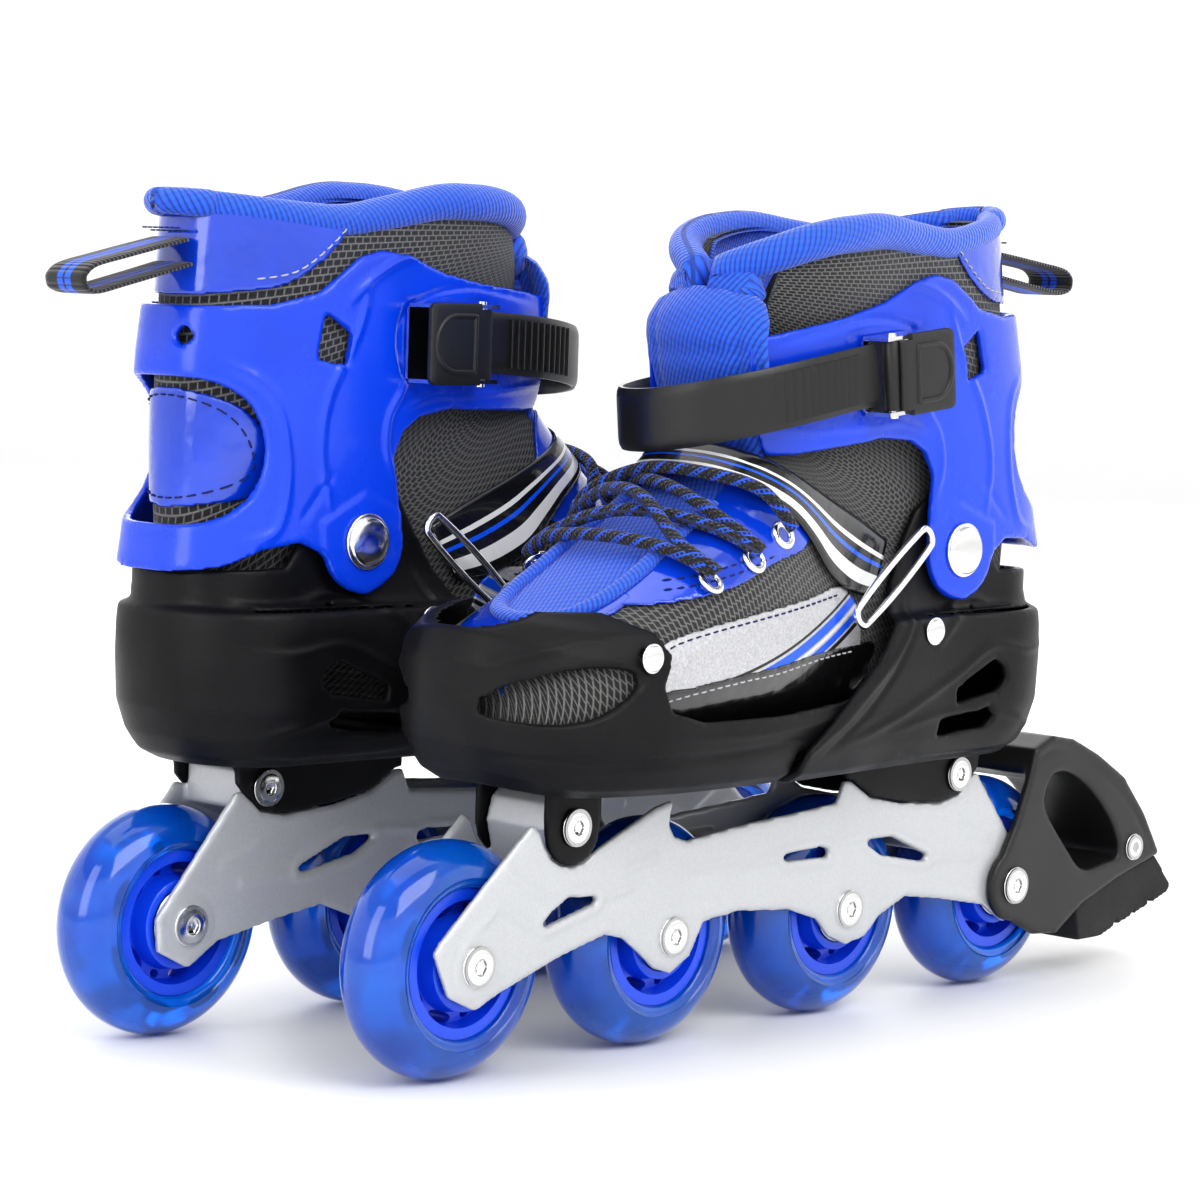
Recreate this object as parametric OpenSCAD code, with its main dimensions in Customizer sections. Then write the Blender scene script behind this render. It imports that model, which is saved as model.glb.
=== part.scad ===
/* [Wheels] */
// Wheel diameter
wheel_d = 70; // [68:1:72]
// Distance between neighbouring axles
axle_pitch = 83; // [82:0.5:86]
// Width of a tyre
tyre_w = 24; // [22:1:24]

/* [Fit] */
// Forward lean of the right cuff at rest, in degrees
right_lean = 0; // [0:0.5:4]
// Forward lean of the left cuff at rest, in degrees
left_lean = 6.5; // [0:0.5:8]
// Distance between the two skates' wheel planes
pair_gap = 99.8; // [99:0.2:140]
// How far each skate stands forward of or behind the pair's middle
pair_shift = 11; // [0:1:20]

/* [Shell] */
// Wall of the hard shells
shell_t = 2.8; // [2.4:0.1:2.8]
// Wall of the soft liner
liner_t = 4.5; // [3.5:0.5:5]

/* [Hidden] */
// The frame of one skate: +X is its toe, -Y its outer side, Z = 0 the ground under the wheels.
wheel_r = wheel_d / 2;
hub_r = 22;
bearing_r = 11;
bearing_w = 7;
axle_r = 3.95;
bearing_face = 12;
wall_in = 12.8;
wall_out = 15.4;
pivot = [-72.2, 149.9];
pivot_r = 4;
rivet_r = 2;
front_bolt = [86, 72];
rear_bolt = [-95.3, 74.4];
frame_bolt_r = 3;
heel_rivet = [-50.4, 125.5];
toe_rivet = [84, 124];
grow = 3.4;
RING = 44;
axles_x = [1.5 * axle_pitch, 0.5 * axle_pitch, -0.5 * axle_pitch, -1.5 * axle_pitch];

function smooth(t) = let(c = max(0, min(1, t))) c * c * (3 - 2 * c);
function power(v, e) = sign(v) * pow(abs(v), e);
function arc(c, r, a0, a1, n) = [for (i = [0:n]) let(a = a0 + (a1 - a0) * i / n) c + r * [cos(a), sin(a)]];
function mix(a, b, t) = a + (b - a) * t;

// Half width at x of a foot outline o = [z, back, front, heel radius, toe half width].
toe_len = 62;
function half_width(x, o) =
  let(xh = o[1] + o[3], xt = o[2] - toe_len)
  x < xh ? o[3] * pow(max(0, 1 - pow(abs((x - xh) / o[3]), 2.2)), 1 / 2.2) :
  x > xt ? o[4] * pow(max(0, 1 - pow(abs((x - xt) / toe_len), 2.15)), 1 / 2.15) :
  mix(o[3], o[4], smooth((x - xh) / (xt - xh)));
// The big toe's side is a little fuller, and the sole turns up under the toes.
function toe_swing(x) = 4 * pow(max(0, x - 20) / 100, 2);
function toe_spring(x) = 0.0075 * pow(max(0, x - 92), 2);
function foot_ring(o) = [for (i = [0:RING - 1])
  let(t = 360 * (i + 0.5) / RING, x = (o[1] + o[2]) / 2 + (o[2] - o[1]) / 2 * cos(t))
  [x, (sin(t) < 0 ? -1 : 1) * half_width(x, o) + toe_swing(x), o[0] + toe_spring(x)]];
// The foot outline at each height: [z, back, front, heel radius, toe half width].
LAST = [
  [82, -114, 113, 24, 34], [85, -120, 119, 28, 40], [91, -124, 123, 30.5, 43.5],
  [100, -127, 125, 32.5, 45.5], [114, -127.6, 125.5, 33, 46], [124, -127.6, 122.5, 32.5, 44.5],
  [129, -127.4, 118.5, 31.5, 43], [131, -125.2, 116.5, 22.6, 42.4], [134, -125.2, 113, 22.6, 37],
  [140, -125.2, 106, 22.6, 31], [152, -125.2, 100, 23, 26], [168, -124.5, 90, 23.4, 25]
];
function grown(o, g) = [o[0], o[1] - g, o[2] + g, o[3] + g, o[4] + g];

function middle(r) = [for (a = [0:2]) (min([for (p = r) p[a]]) + max([for (p = r) p[a]])) / 2];
// A closed solid through rings of equal length, each end closed by a fan about its middle.
module loft(rings) {
  n = len(rings[0]);
  m = len(rings);
  polyhedron(concat([for (r = rings) each r], [middle(rings[0]), middle(rings[m - 1])]), [
    for (i = [0:n - 1]) [m * n, i, (i + 1) % n],
    for (j = [0:m - 2], i = [0:n - 1]) let(k = (i + 1) % n) each [
      [j * n + i, (j + 1) * n + k, j * n + k], [j * n + i, (j + 1) * n + i, (j + 1) * n + k]],
    for (i = [0:n - 1]) [m * n + 1, (m - 1) * n + (i + 1) % n, (m - 1) * n + i]
  ], convexity = 8);
}
module foot_form(g, lift) {
  loft([for (o = LAST) let(q = grown(o, g)) foot_ring([max(q[0], LAST[0][0] + lift), q[1], q[2], q[3], q[4]])]);
}
// A shell wall: the outer form less the inner one, whose floor is raised and whose top runs on.
module foot_wall(g, t, floor_t) {
  difference() {
    foot_form(g, 0);
    loft([for (i = [0:len(LAST) - 1]) let(q = grown(LAST[i], g - t))
      foot_ring([i == 0 ? q[0] + floor_t : i == 1 ? q[0] + floor_t - 1 : i == len(LAST) - 1 ? q[0] + 2 : q[0],
        q[1], q[2], q[3], q[4]])]);
  }
}
// A prism across the skate from a side outline of [x, z] points.
module across(points, half) {
  translate([0, half, 0]) rotate([90, 0, 0]) linear_extrude(2 * half) polygon(points);
}
module rod(x, z, r, y0, y1, fn) {
  translate([x, y1, z]) rotate([90, 0, 0]) cylinder(h = y1 - y0, r = r, $fn = fn);
}
module at_axles() {
  for (x = axles_x) translate([x, 0, wheel_r]) children();
}
// Turns a shape drawn round Z to lie across the skate.
module lay() {
  rotate([90, 0, 0]) children();
}

// The origin is under the middle of the pair's outer box, which the brake makes longer on one side.
pair_middle = [-27.16, -0.7];
module on_right() {
  translate([pair_middle[0] - pair_shift, pair_middle[1] + pair_gap / 2, 0]) children();
}
module on_left() {
  translate([pair_middle[0] + pair_shift, pair_middle[1] - pair_gap / 2, 0]) mirror([1, 0, 0]) children();
}
module leaned(a) {
  translate([pivot[0], 0, pivot[1]]) rotate([0, a, 0]) translate([-pivot[0], 0, -pivot[1]]) children();
}

// Wheels
tyre_round = 12;
module tyre_part() {
  lay() rotate_extrude($fn = 96) difference() {
    translate([wheel_r - tyre_round, 0]) circle(tyre_round, $fn = 64);
    translate([-wheel_d, -wheel_d / 2]) square([wheel_d + hub_r, wheel_d]);
    for (s = [-1, 1]) translate([0, s > 0 ? tyre_w / 2 : -tyre_w / 2 - wheel_d]) square([wheel_d, wheel_d]);
  }
}
boss_r = 13.6;
spoke_half = 4;
module hub_part() {
  lay() difference() {
    union() {
      rotate_extrude($fn = 96) translate([18.6, -9.5]) square([hub_r - 0.03 - 18.6, 19]);
      translate([0, 0, -spoke_half]) cylinder(h = 2 * spoke_half, r = 19, $fn = 96);
      translate([0, 0, -bearing_face + 0.3]) cylinder(h = 2 * bearing_face - 0.6, r = boss_r, $fn = 96);
    }
    for (z = [-bearing_face - 1, bearing_face - bearing_w - 0.02]) translate([0, 0, z])
      cylinder(h = bearing_w + 1.02, r = bearing_r + 0.02, $fn = 96);
    translate([0, 0, -bearing_face]) cylinder(h = 2 * bearing_face, r = 8.6, $fn = 64);
    for (k = [0:4]) rotate([0, 0, 72 * k]) {
      intersection() {
        translate([16.2, -8, -wheel_r]) cylinder(h = wheel_d, r = 10.1, $fn = 64);
        translate([16.2, 8, -wheel_r]) cylinder(h = wheel_d, r = 10.1, $fn = 64);
        translate([0, 0, -wheel_r]) cylinder(h = wheel_d, r = 18.4, $fn = 64);
      }
      rotate([0, 0, 36]) translate([16.1, 0, -wheel_r]) cylinder(h = wheel_d, r = 1.3, $fn = 32);
    }
  }
  for (s = [-1, 1]) translate([0, s > 0 ? bearing_face : -bearing_face + bearing_w, 0]) lay() difference() {
    cylinder(h = bearing_w, r = bearing_r, $fn = 64);
    translate([0, 0, -1]) cylinder(h = bearing_w + 2, r = 6.4, $fn = 64);
  }
}
module axle_set(extra) {
  for (i = [0:3]) translate([axles_x[i], 0, wheel_r]) {
    far = wall_out + (i == 3 ? extra : 0);
    lay() difference() {
      union() {
        translate([0, 0, -far]) cylinder(h = 2 * far, r = axle_r, $fn = 64);
        translate([0, 0, far]) cylinder(h = 1.3, r = 6, $fn = 64);
        translate([0, 0, -far - 1.3]) cylinder(h = 1.3, r = 6, $fn = 64);
      }
      for (s = [far - 1.5, -far - 1.4]) translate([0, 0, s]) cylinder(h = 2.9, r = 2.6, $fn = 6);
    }
  }
}
module bearing_cores() {
  at_axles() {
    for (s = [-1, 1]) translate([0, s > 0 ? wall_in - 0.05 : -5.02, 0]) lay() difference() {
      cylinder(h = wall_in - 5.07, r = 6, $fn = 64);
      translate([0, 0, -1]) cylinder(h = 12, r = 4, $fn = 64);
    }
    translate([0, 4.98, 0]) lay() difference() {
      cylinder(h = 9.96, r = 5.6, $fn = 64);
      translate([0, 0, -1]) cylinder(h = 12, r = 4, $fn = 64);
    }
  }
}

// Frame
FRAME_TOP = [
  [-137, 38], [-126, 51], [-106.5, 74], [-104, 73], [-97, 67], [-87, 65], [-66, 67], [-51, 70], [-41, 76],
  [-38, 76], [-35, 69.5], [-16, 68], [12, 66], [36, 63.5], [42, 65.5], [44, 69], [43, 76.5], [50, 75],
  [75, 64.5], [77.5, 63], [81, 60.8], [86, 60], [91, 60.8], [95, 63.2], [97.5, 66.5], [100, 71.5],
  [103, 74], [137, 42]
];
FRAME_LOW = [
  [135, 27], [124.5, 22], [115, 26], [90, 34], [71, 38.5], [63, 36.5], [56, 31.5], [49, 26], [41.5, 23.5],
  [33, 28], [27, 38], [11, 39.5], [-13, 37.5], [-27, 33], [-33, 27], [-41.5, 23.5], [-51, 25], [-58, 31],
  [-71, 36], [-89, 33.5], [-113, 29], [-124.5, 22], [-136, 28]
];
FRONT_SLOT = [[75.5, 48.6], [97, 43.4], [98.6, 44.4], [95, 47.4], [88, 51.2], [75.8, 50.6]];
MID_SLOT = [[-31.5, 52.6], [-11, 53], [-8.5, 54.4], [-10, 55.2], [-27, 56.2], [-31, 55]];
REAR_SLOT = [[-81.5, 47], [-77, 47.2], [-57, 51], [-49.5, 55.4], [-51, 56.2], [-63, 56.2], [-81, 49]];
module frame_part() {
  difference() {
    union() {
      difference() {
        across(concat(FRAME_TOP, FRAME_LOW), wall_out);
        across([[-200, 0], [-200, 120], [200, 120], [200, 0]], wall_in);
      }
      across([[77.5, 50.5], [77.5, 60], [89.5, 60], [90, 50.5]], wall_in + 0.2);
      across([[78, 59], [76, 72], [78.5, 79], [82, 81.6], [90, 81.6], [93.5, 79], [95.5, 72], [92, 59]], 12.4);
      across([[-7, 50], [-7, 60], [7, 60], [7, 50]], wall_in + 0.2);
      across([[-90, 50.5], [-90, 65], [-76, 66], [-76, 50.5]], wall_in + 0.2);
      across([[-89, 62], [-103.5, 68], [-103.5, 80], [-99, 81.6], [-74, 81.6], [-71, 72], [-74, 62]], 12.4);
    }
    for (x = axles_x) rod(x, wheel_r, 4, -20, 20, 64);
    rod(front_bolt[0], front_bolt[1], frame_bolt_r + 0.05, -20, 20, 48);
    rod(rear_bolt[0], rear_bolt[1], frame_bolt_r + 0.05, -20, 20, 48);
    for (p = [FRONT_SLOT, MID_SLOT, REAR_SLOT]) across(p, 30);
  }
}
module frame_bolts() {
  for (b = [front_bolt, rear_bolt]) difference() {
    union() {
      rod(b[0], b[1], frame_bolt_r, -wall_out - 0.4, wall_out + 0.4, 48);
      for (s = [-1, 1]) rod(b[0], b[1], 5.6, s > 0 ? wall_out + 0.3 : -wall_out - 1.5, s > 0 ? wall_out + 1.5 : -wall_out - 0.3, 48);
    }
    for (s = [-1, 1]) translate([b[0], s * (wall_out + 1.5), b[1]]) lay()
      translate([0, 0, -1.1]) cylinder(h = 2.2, r = 2.3, $fn = 6);
  }
}

// Hard shells
HEEL_SIDE = [
  [-140, 80], [-109, 74], [-104, 81.9], [16, 81.9], [15, 92], [-6, 107], [-22, 118], [-33, 130],
  [-41, 141], [-46, 150], [-54, 163], [-64, 169], [-84, 169], [-91, 154], [-99, 142.5], [-140, 141]
];
VENT_A = [[-66, 101.5], [-88, 104.5], [-92.5, 108], [-91, 112], [-86, 114.5], [-65.5, 106]];
VENT_B = [[-58, 91.5], [-84, 93], [-88, 96], [-84, 99.5], [-58, 96.5]];
CHEEK_REAR = [
  [-38.4, 84], [-38.4, 76.6], [-41, 76.5], [-51, 70.5], [-66, 67.5], [-87, 65.5], [-97, 67.5], [-104, 73.4],
  [-106.5, 76], [-108, 84]
];
module cheeks(points) {
  difference() {
    across(points, wall_out);
    across([[-200, 0], [-200, 120], [200, 120], [200, 0]], wall_in);
  }
}
module heel_shell_part() {
  difference() {
    resize([0, 0, 0]) union() {
      intersection() {
        foot_wall(grow, shell_t, 4);
        across(HEEL_SIDE, 60);
      }
      cheeks(CHEEK_REAR);
      across([[-40, 83], [-40, 89.8], [97, 89.8], [97, 86.6], [17, 86.6], [10, 83]], 22);
      cheeks(concat(arc(front_bolt, 11.4, -160, -20, 14), [[97.4, 75], [97.2, 88], [75, 88], [74.6, 75]]));
    }
    across(VENT_A, 60);
    across(VENT_B, 60);
    for (s = [-1, 1]) rod(pivot[0], pivot[1], pivot_r + 0.02, s > 0 ? 1 : -60, s > 0 ? 60 : -1, 64);
    for (s = [-1, 1]) rod(heel_rivet[0], heel_rivet[1], rivet_r, s > 0 ? 1 : -60, s > 0 ? 60 : -1, 32);
    rod(front_bolt[0], front_bolt[1], frame_bolt_r + 0.05, -20, 20, 48);
    rod(rear_bolt[0], rear_bolt[1], frame_bolt_r + 0.05, -20, 20, 48);
  }
}
TOE_SIDE = [
  [140, 60], [140, 131], [118, 131.5], [104, 136], [88, 136], [79, 131], [75, 124], [79, 115], [76, 108],
  [63, 104.5], [27, 104], [-6, 106], [-34, 112], [-38, 106], [-38, 88], [16.4, 88], [17.4, 60]
];
EYE = [
  [121, 108], [112, 105.5], [102, 106.5], [94, 110], [87.5, 116], [89, 119.4], [100, 120.6], [112, 118.5], [119, 115]
];
module toe_shell_part() {
  difference() {
    resize([0, 0, 0]) difference() {
      foot_wall(0, 2.6, 2);
      across([[-160, 60], [-160, 200], [-38, 200], [-38, 60]], 60);
      across([[-40, 60], [-40, 92.5], [16.4, 92.5], [17.4, 60]], 60);
      across([[75, 124], [79, 115], [76, 108], [63, 104.5], [27, 104], [-6, 106], [-34, 112], [-40, 112],
        [-40, 180], [75, 180]], 60);
      across([[75, 124], [79, 131], [88, 136], [104, 136], [118, 131.5], [140, 131], [140, 180], [74, 180]], 60);
      across([[48, 70], [48, 86.6], [98.2, 86.6], [98.2, 70]], 16.2);
    }
    across(EYE, 60);
    for (s = [-1, 1]) rod(toe_rivet[0], toe_rivet[1], rivet_r, s > 0 ? 1 : -60, s > 0 ? 60 : -1, 32);
  }
}
// A domed rivet whose head stands off the wall at y = -reach, pointing out.
module rivet(p, reach, r, head_r, grip, dome) {
  rod(p[0], p[1], r, -reach, -reach + grip, 48);
  translate([p[0], -reach, p[1]]) rotate([90, 0, 0]) intersection() {
    cylinder(h = dome, r = head_r, $fn = 64);
    translate([0, 0, dome - head_r * 1.6]) sphere(head_r * 1.6, $fn = 64);
  }
}
module both_sides() {
  children();
  mirror([0, 1, 0]) children();
}
module shell_rivets() {
  both_sides() rivet(heel_rivet, 38.65, rivet_r - 0.02, 4.3, 5.6, 1.5);
}
module toe_rivets() {
  rivet(toe_rivet, 41.75, rivet_r - 0.02, 4.3, 4.1, 1.5);
  mirror([0, 1, 0]) rivet(toe_rivet, 44.75, rivet_r - 0.02, 4.3, 4.1, 1.5);
}

// Cuff, whose sections are [z, middle, half length, half width].
CUFF = [
  [130, -76, 58.5, 31.6], [138, -75, 59.3, 31.5], [150, -73, 59.4, 31.2], [170, -66, 64.5, 30.8],
  [190, -55, 75.5, 30.6], [205, -52, 78, 30.4], [220, -51, 77, 30.2], [245, -52, 74, 29.6]
];
function cuff_ring(o, g) = [for (i = [0:RING - 1]) let(t = 360 * i / RING)
  [o[1] + (o[2] - g) * power(cos(t), 0.7), (o[3] - g) * power(sin(t), 0.7), o[0]]];
CUFF_SIDE = concat(
  [[-150, 138], [-122, 143], [-110, 148], [-97, 150], [-90, 147]],
  arc(pivot, 16, 197, 355, 16),
  [[-58, 163], [-60.5, 175], [-57, 183], [-50, 187.5], [-36, 190], [0, 189], [22, 190], [27, 198], [26, 216],
   [20, 225], [0, 227], [-22, 229], [-40, 232], [-56, 237], [-66, 238.5], [-75, 236], [-90, 225], [-106, 221],
   [-150, 219]]);
REAR_WINDOW = [
  [-150, 154], [-130, 155], [-119, 159], [-111, 167], [-108, 178], [-111, 189], [-119, 196], [-130, 199],
  [-150, 199]
];
CUFF_SLOT = [[-91, 205], [-80, 203], [-78, 213], [-88, 219]];
PULL_HOLE = [-118, 210];
module cuff_part() {
  difference() {
    resize([0, 0, 0]) intersection() {
      difference() {
        loft([for (o = CUFF) cuff_ring(o, 0)]);
        loft([for (i = [0:len(CUFF) - 1]) let(o = CUFF[i])
          cuff_ring([i == 0 ? o[0] - 1 : i == len(CUFF) - 1 ? o[0] + 1 : o[0], o[1], o[2], o[3]], shell_t)]);
      }
      across(CUFF_SIDE, 60);
    }
    across(REAR_WINDOW, 60);
    across(CUFF_SLOT, 60);
    translate([0, -20, 100]) cube([40, 40, 160]);
    for (s = [-1, 1]) rod(pivot[0], pivot[1], pivot_r + 0.05, s > 0 ? 1 : -60, s > 0 ? 60 : -1, 64);
  }
}
module cuff_pivots() {
  both_sides() {
    rivet(pivot, 31.7, pivot_r, 8.6, 8.8, 2.4);
    rod(pivot[0], pivot[1], 6.2, -23.5, -22.9, 48);
  }
}

// Soft boot, as sections that turn about the instep: top [x, z], bottom [x, z], half width.
BOOT = [
  [[117, 113], [117, 102], 6, 0.9], [[112, 122], [113, 95.5], 23, 0.95], [[102, 129], [104, 93], 32.5, 1],
  [[86, 136], [84, 91.5], 39, 1.05], [[66, 147], [60, 91], 40.3, 1.15], [[47, 160], [36, 91], 39.6, 1.2],
  [[32, 173], [8, 91], 37.5, 1.2], [[21, 186], [-24, 91], 33, 1.15], [[15, 198], [-62, 92], 27, 1],
  [[12, 208], [-100, 98], 23.4, 0.82], [[11, 216], [-121, 116], 22.6, 0.82], [[11, 223], [-124.5, 145], 22.8, 0.82],
  [[12, 232], [-125, 180], 26.4, 0.82], [[11, 240], [-124, 215], 26.8, 0.82], [[8, 249], [-122, 249], 27, 0.82],
  [[6, 262], [-121, 262], 27, 0.82]
];
function boot_ring(s, g, n) =
  let(c = (s[0] + s[1]) / 2, u = (s[0] - s[1]) / 2, l = norm(u), k = (l - g) / l)
  [for (i = [0:n - 1]) let(t = 360 * (i + 0.5) / n, a = k * power(cos(t), 0.82), x = c[0] + u[0] * a)
    [x, (s[2] - g) * power(sin(t), 0.82) + toe_swing(x), c[1] + u[1] * a]];
module boot_form(g, first, n) {
  loft([for (i = [first:len(BOOT) - 1]) boot_ring(BOOT[i], g, n)]);
}
module boot_wall(g) {
  difference() {
    boot_form(g, 0, 24);
    translate([0, 0, 0.02]) boot_form(g + liner_t, 1, 24);
  }
}
function ray(a, l) = pivot + l * [cos(a), sin(a)];
COLLAR = [
  [60, 232], [12, 237], [-5, 243], [-30, 249], [-60, 251], [-90, 251.5], [-112, 254], [-140, 254],
  [-140, 290], [60, 290]
];
TONGUE_ZONE = [[-6, 203], [-6, 256], [-2, 259], [40, 259], [40, 203]];
throat_half = 14;
module liner_foot_part() {
  resize([0, 0, 0]) difference() {
    boot_wall(0);
    across([pivot, ray(5, 260), ray(60, 400), ray(120, 400), ray(184, 260)], 60);
  }
}
module liner_shaft_part() {
  resize([0, 0, 0]) difference() {
    intersection() {
      boot_wall(0);
      across([pivot, ray(20, 260), ray(60, 400), ray(120, 400), ray(176, 260)], 60);
    }
    across(COLLAR, 60);
    across(TONGUE_ZONE, throat_half + 0.4);
  }
}
module tongue_part() {
  resize([0, 0, 0]) intersection() {
    boot_wall(0);
    across(TONGUE_ZONE, throat_half);
  }
}

// Straps: a band swept along [point, across direction] stations, half width and thickness.
module band(stations, half, t) {
  n = len(stations);
  loft([for (i = [0:n - 1])
    let(a = stations[max(0, i - 1)][0], b = stations[min(n - 1, i + 1)][0], d = (b - a) / norm(b - a),
      w0 = stations[i][1] - (stations[i][1] * d) * d, w = w0 / norm(w0), u = cross(d, w), p = stations[i][0])
    [p - w * half, p + w * half, p + w * half + u * t, p - w * half + u * t]]);
}
// The instep strap follows the boot's own surface between two slanting edges.
STRAP_SIDE = [
  [18, 180.5], [8, 175], [-8, 168], [-26, 160], [-38, 153], [-30, 134], [-16, 137], [-3, 144], [5, 153], [13, 161],
  [23, 167], [31, 172], [66, 176], [66, 190], [30, 190], [21, 182.5]
];
module instep_strap_part() {
  resize([0, 0, 0]) intersection() {
    difference() {
      boot_form(-2.6, 0, 24);
      boot_form(-0.6, 0, 24);
    }
    across(STRAP_SIDE, 60);
  }
}
RATCHET = [
  [[-27, -33.4, 211], [0, 0, 1]], [[-16, -33.1, 210.6], [0, 0, 1]], [[0, -32, 209.5], [0, 0, 1]],
  [[14, -28, 208], [0, 0, 1]], [[25, -21.5, 206.4], [0, 0, 1]], [[32.5, -12, 204.6], [0, 0, 1]],
  [[35.5, 0, 203], [0, 0, 1]], [[32.5, 12, 202], [0, 0, 1]], [[25, 22, 201.4], [0, 0, 1]],
  [[13, 29.2, 201], [0, 0, 1]], [[-1, 33, 201], [0, 0, 1]], [[-16, 33.8, 201], [0, 0, 1]]
];
module ratchet_strap_part() {
  resize([0, 0, 0]) band(RATCHET, 9.6, 2.6);
  for (i = [0:3]) translate([-16 - 3 * i, -36.5, 201.5]) cube([1.4, 1, 19]);
}
ring_at = [-33, -34.4, 143];
module strap_ring_part() {
  translate(ring_at) rotate([0, 38, 0]) rotate([90, 0, 0]) linear_extrude(2.4) difference() {
    union() {
      translate([-17, -3]) square([34, 6]);
      for (s = [-1, 1]) translate([s * 17, 0]) circle(5.6, $fn = 32);
      translate([-17, -5.6]) square([34, 11.2]);
    }
    translate([-17, -3]) square([34, 6]);
    for (s = [-1, 1]) translate([s * 17, 0]) circle(3, $fn = 32);
  }
}

// Buckle on the outer side of the cuff
BUCKLE = [-41, 210.5];
module buckle_base_part() {
  translate([BUCKLE[0], -33.1, BUCKLE[1]]) {
    translate([-16, 1.6, -11]) cube([31, 1, 22]);
    for (s = [-1, 1]) translate([0, 0, s > 0 ? 11 : -12.2]) difference() {
      translate([-15, -7.4, 0]) cube([29, 10, 1.2]);
      translate([9, -4.6, -1]) cylinder(h = 4, r = 1.55, $fn = 32);
    }
  }
}
module buckle_pin_part() {
  translate([BUCKLE[0] + 9, -33.1 - 4.6, BUCKLE[1] - 13.2]) cylinder(h = 26.4, r = 1.5, $fn = 32);
}
module buckle_lever_part() {
  translate([BUCKLE[0], -33.1, BUCKLE[1]]) difference() {
    union() {
      translate([9, -4.6, -10.8]) cylinder(h = 21.6, r = 3, $fn = 48);
      translate([-16.5, -9.4, -12.8]) cube([21, 1.9, 25.6]);
      translate([4.4, -9.4, -10.8]) cube([5.1, 1.9, 21.6]);
      translate([4.5, -9.4, -10.8]) cube([5, 4, 21.6]);
    }
    translate([9, -4.6, -12]) cylinder(h = 24, r = 1.56, $fn = 32);
  }
}

// Lace through its eyelets
// Eyelets as [x, distance out, height, tilt about X], and the lace's way over them.
EYELETS = [[52.9, 35.9, 144.6, 48.5], [34.4, 36, 150.5, 60], [19.2, 34, 157.3, 66]];
LACE = [
  [19, 38, 159.4], [27, 31, 168], [36, 12, 172], [41, -8, 170.5], [41, -27, 163], [35, -39.4, 153.4], [43, -28, 159.5],
  [51, -10, 163.5], [55, 8, 162], [57, 27, 154.5], [53.6, 39.6, 147.6], [60, 24, 154], [62.5, 1, 156],
  [60, -22, 154], [53.6, -38.4, 147.6], [57, -26, 155.5], [54, -8, 168], [50, 10, 169], [43, 28, 162],
  [35, 40, 153.4], [41, 27, 166.5], [38, 8, 175], [35, -12, 175.5], [27, -31, 171], [19, -38, 159.4]
];
function catmull(p, i, t) =
  let(n = len(p) - 1, a = p[max(0, i - 1)], b = p[i], c = p[min(n, i + 1)], d = p[min(n, i + 2)])
  0.5 * ((2 * b) + (c - a) * t + (2 * a - 5 * b + 4 * c - d) * t * t + (3 * b - a - 3 * c + d) * t * t * t);
function route(p, m) = [for (i = [0:len(p) - 2], j = [0:m - 1]) catmull(p, i, j / m), p[len(p) - 1]];
module cord(points, r, sides) {
  n = len(points);
  loft([for (i = [0:n - 1])
    let(a = points[max(0, i - 1)], b = points[min(n - 1, i + 1)], d = (b - a) / norm(b - a),
      u0 = cross(d, [0, 0, 1]), u = u0 / norm(u0), w = cross(d, u))
    [for (k = [0:sides - 1]) points[i] + r * (cos(360 * k / sides) * u + sin(360 * k / sides) * w)]]);
}
module lace_part() {
  resize([0, 0, 0]) cord(route(LACE, 4), 1.9, 8);
}
module eyelets_part() {
  for (e = EYELETS, s = [-1, 1]) translate([e[0], s * e[1] + toe_swing(e[0]), e[2]]) rotate([-s * e[3], 0, 0])
    rotate_extrude($fn = 32) translate([3.4, 0]) circle(1, $fn = 16);
}
// Pull loop behind the collar
TAB = [-123.8, 236];
module pull_tab_part() {
  translate([TAB[0], 9, TAB[1]]) rotate([0, -14, 0]) rotate([90, 0, 0]) linear_extrude(18) difference() {
    union() {
      translate([-38, -5]) square([36, 10]);
      translate([-38, 0]) circle(5, $fn = 48);
    }
    translate([-38, -3.4]) square([37, 6.8]);
    translate([-38, 0]) circle(3.4, $fn = 48);
    translate([-3, -6]) square([5, 1]);
  }
}

// Heel brake, on the left skate only
brake_in = 15.6;
brake_out = 18.8;
ARM_SIDE = [
  [-119, 46], [-125, 56], [-131, 70], [-134, 80], [-144, 84], [-156, 82], [-170, 76], [-186, 67], [-199, 53],
  [-209, 38.2], [-184, 31.5], [-164, 24.5], [-150, 16], [-137, 17], [-124, 23]
];
ARM_OPEN = [
  [-141, 60], [-143, 69], [-150, 71], [-161, 67], [-172, 59], [-181, 49], [-184, 40], [-176, 38], [-164, 37],
  [-155, 44]
];
PAD_SIDE = [[-209.2, 37.6], [-220, 26], [-218, 23], [-178, 11.4], [-166, 11.4], [-163.6, 24], [-184, 31]];
module brake_arm_part() {
  difference() {
    union() {
      across(ARM_SIDE, brake_out);
      rod(axles_x[3], wheel_r, 12, -brake_out, brake_out, 64);
    }
    across(ARM_OPEN, 60);
    rod(axles_x[3], wheel_r, wheel_r + 2.4, -brake_in, brake_in, 96);
    across([[-150, 10], [-134, 60], [-131, 90], [-90, 90], [-90, 10]], brake_in);
    rod(axles_x[3], wheel_r, 4, -30, 30, 64);
    rod(-192, 42, 2.52, -30, 30, 32);
  }
}
module brake_pad_part() {
  across(PAD_SIDE, 16);
}
module brake_bolt_part() {
  rod(-192, 42, 2.5, -brake_out, brake_out, 32);
  for (s = [-1, 1]) rod(-192, 42, 4.4, s > 0 ? brake_out : -brake_out - 1.2, s > 0 ? brake_out + 1.2 : -brake_out, 32);
}

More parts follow.
